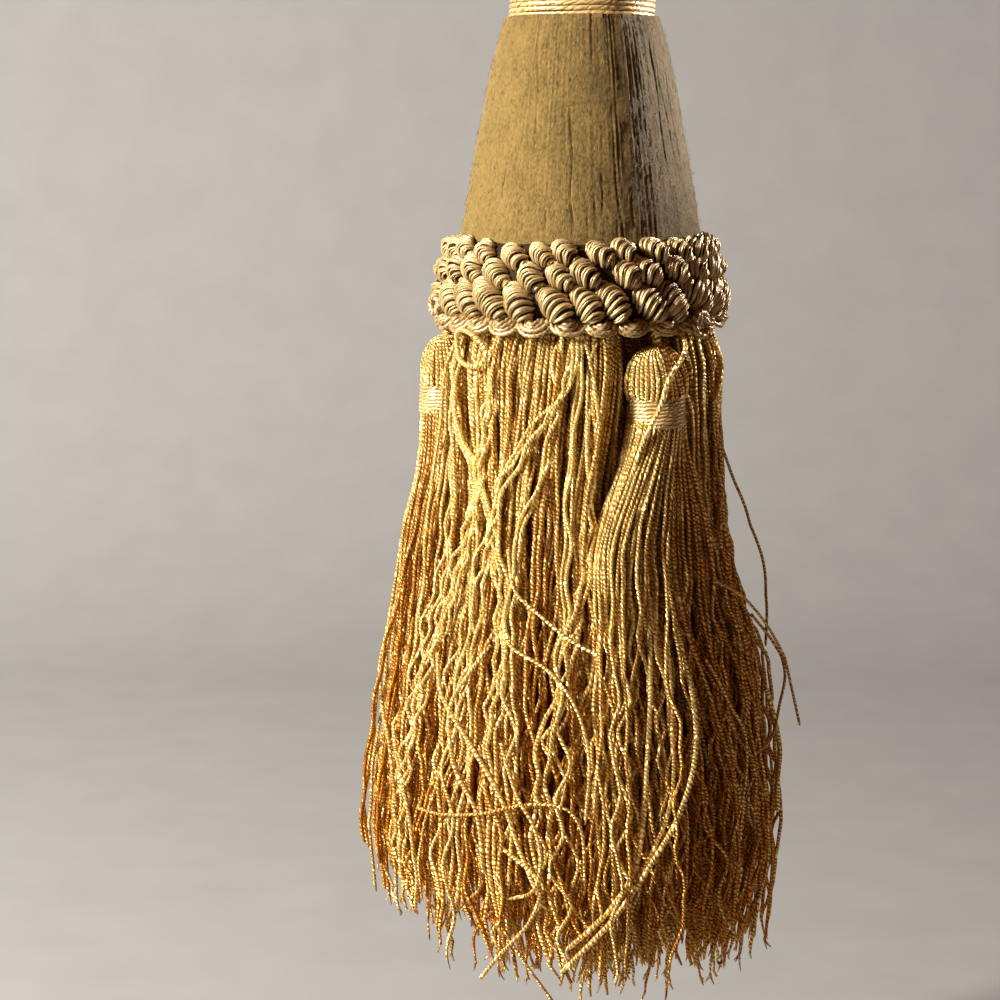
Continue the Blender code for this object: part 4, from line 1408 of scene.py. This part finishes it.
class TASSEL_OT_small_tassels(bpy.types.Operator):
    """Makes the small bound tassels that hang over the skirt"""

    bl_idname = "tassel.small_tassels"
    bl_label = "Small tassels"

    def execute(self, context):
        settings = context.scene.tassel_skirt
        silk = bpy.data.materials["silk_thread"]
        yarn = bpy.data.materials["satin_yarn"]
        # A dark core: painted shade inside the small tassels' bulbs.
        plain_material("small_core_shade", settings.deep, lightness=0.25)
        for small in SMALL_TASSELS:
            chance = np.random.default_rng(small.seed)
            make_stem(small, silk)
            make_bulb(small, settings, chance, silk)
            make_fall(small, settings, chance, silk)
            make_small_binding(small, yarn)
        make_bulb_thread(silk)
        return {"FINISHED"}


class TASSEL_OT_loose_threads(bpy.types.Operator):
    """Lays the locks, strays and loops that lie across the skirt"""

    bl_idname = "tassel.loose_threads"
    bl_label = "Loose threads"

    def execute(self, context):
        settings, silk = context.scene.tassel_skirt, bpy.data.materials["silk_thread"]
        make_surface_locks(settings, silk)
        make_loose_threads(settings, silk)
        make_left_loop(settings, silk)
        make_right_curl(silk)
        return {"FINISHED"}


def add_light(name, place, aim, size):
    """A square light at a place, turned to face the aim."""
    bpy.ops.object.light_add(type="AREA", location=place)
    light = bpy.context.object
    light.name = name
    direction = np.array(aim) - np.array(place)
    tilt = math.atan2(math.hypot(direction[0], direction[1]), -direction[2])
    light.rotation_euler = (tilt, 0, math.atan2(-direction[0], direction[1]))
    light.data.size = size
    light.data.spread = math.radians(180)
    return light.data


def warm_world(fill):
    """Dim warm light from all round."""
    world = bpy.data.worlds.new("studio")
    world.use_nodes = True
    background = world.node_tree.nodes["Background"].inputs
    background["Color"].default_value = (1.0, 0.31, 0.08, 1)
    background["Strength"].default_value = fill
    return world


def add_camera(lens):
    """The camera in front, a little above the middle and turned down."""
    turn = (math.radians(90 - 9.8), 0, 0)
    bpy.ops.object.camera_add(location=(-0.0178, -0.476, -0.0465), rotation=turn)
    camera = bpy.context.object
    camera.data.lens = lens
    camera.data.clip_start = 0.01
    return camera


def add_backdrop(colour):
    """A pale floor that curves up into the wall behind."""
    bpy.ops.object.select_all(action="DESELECT")
    bpy.ops.mesh.primitive_plane_add(size=1, location=(0, 0.05, -0.30))
    floor = bpy.context.object
    floor.name = "pale_floor"
    bpy.ops.object.mode_set(mode="EDIT")
    bpy.ops.transform.resize(value=(1.2, 0.9, 1))
    pick_none()
    for edge in floor.data.edges:
        edge.select = all(floor.data.vertices[i].co.y > 0 for i in edge.vertices)
    bpy.ops.object.mode_set(mode="EDIT")
    bpy.ops.mesh.select_mode(type="EDGE")
    steps, radius = 12, 0.35
    for step in range(1, steps + 1):
        turn = math.radians(90 * (step - 0.5) / steps)
        reach = radius * math.radians(90) / steps
        move = (0, reach * math.cos(turn), reach * math.sin(turn))
        bpy.ops.mesh.extrude_region_move(TRANSFORM_OT_translate={"value": move})
    bpy.ops.mesh.extrude_region_move(TRANSFORM_OT_translate={"value": (0, 0, 0.5)})
    end_edit()
    bpy.ops.object.transform_apply(location=True, rotation=True, scale=True)
    bpy.ops.object.shade_smooth()
    floor.data.materials.append(plain_material("pale_backdrop", colour, 0.9, 40.0))


class TASSEL_OT_stage(bpy.types.Operator):
    """Sets the pale floor, the lights and the camera"""

    bl_idname = "tassel.stage"
    bl_label = "Stage"

    def execute(self, context):
        scene, settings = context.scene, context.scene.tassel_stage
        add_backdrop(settings.backdrop)
        key = add_light("key_light", (-1.04, -0.48, 0.42), (0, 0, -0.12), 0.26)
        key.energy, key.color = settings.key_power, (1.0, 0.93, 0.82)
        rim = add_light("rim_light", (0.50, 0.26, 0.10), (0.012, 0.01, -0.036), 0.07)
        rim.energy, rim.color = settings.rim_power, (1.0, 0.97, 0.94)
        rim.spread = math.radians(9)
        scene.world = warm_world(settings.fill)
        scene.view_settings.view_transform = "Standard"
        scene.camera = add_camera(settings.lens)
        return {"FINISHED"}


class TASSEL_PT_panel(bpy.types.Panel):
    """Lists the pieces of the tassel"""

    bl_idname = "TASSEL_PT_panel"
    bl_label = "Tassel"
    bl_space_type = "VIEW_3D"
    bl_region_type = "UI"
    bl_category = "Tassel"

    def draw(self, context):
        for operator in OPERATORS:
            self.layout.operator(operator.bl_idname)


SETTINGS = {
    "tassel_head": TasselHeadSettings,
    "tassel_collar": TasselCollarSettings,
    "tassel_skirt": TasselSkirtSettings,
    "tassel_stage": TasselStageSettings,
}
OPERATORS = (
    TASSEL_OT_head,
    TASSEL_OT_collar,
    TASSEL_OT_skirt,
    TASSEL_OT_small_tassels,
    TASSEL_OT_loose_threads,
    TASSEL_OT_stage,
)


def register():
    for name, group in SETTINGS.items():
        bpy.utils.register_class(group)
        setattr(bpy.types.Scene, name, bpy.props.PointerProperty(type=group))
    for operator in OPERATORS:
        bpy.utils.register_class(operator)
    bpy.utils.register_class(TASSEL_PT_panel)


def unregister():
    bpy.utils.unregister_class(TASSEL_PT_panel)
    for operator in reversed(OPERATORS):
        bpy.utils.unregister_class(operator)
    for name, group in SETTINGS.items():
        delattr(bpy.types.Scene, name)
        bpy.utils.unregister_class(group)


def main():
    register()
    bpy.ops.tassel.head()
    bpy.ops.tassel.collar()
    bpy.ops.tassel.skirt()
    bpy.ops.tassel.small_tassels()
    bpy.ops.tassel.loose_threads()
    bpy.ops.tassel.stage()


if __name__ == "__main__":
    main()
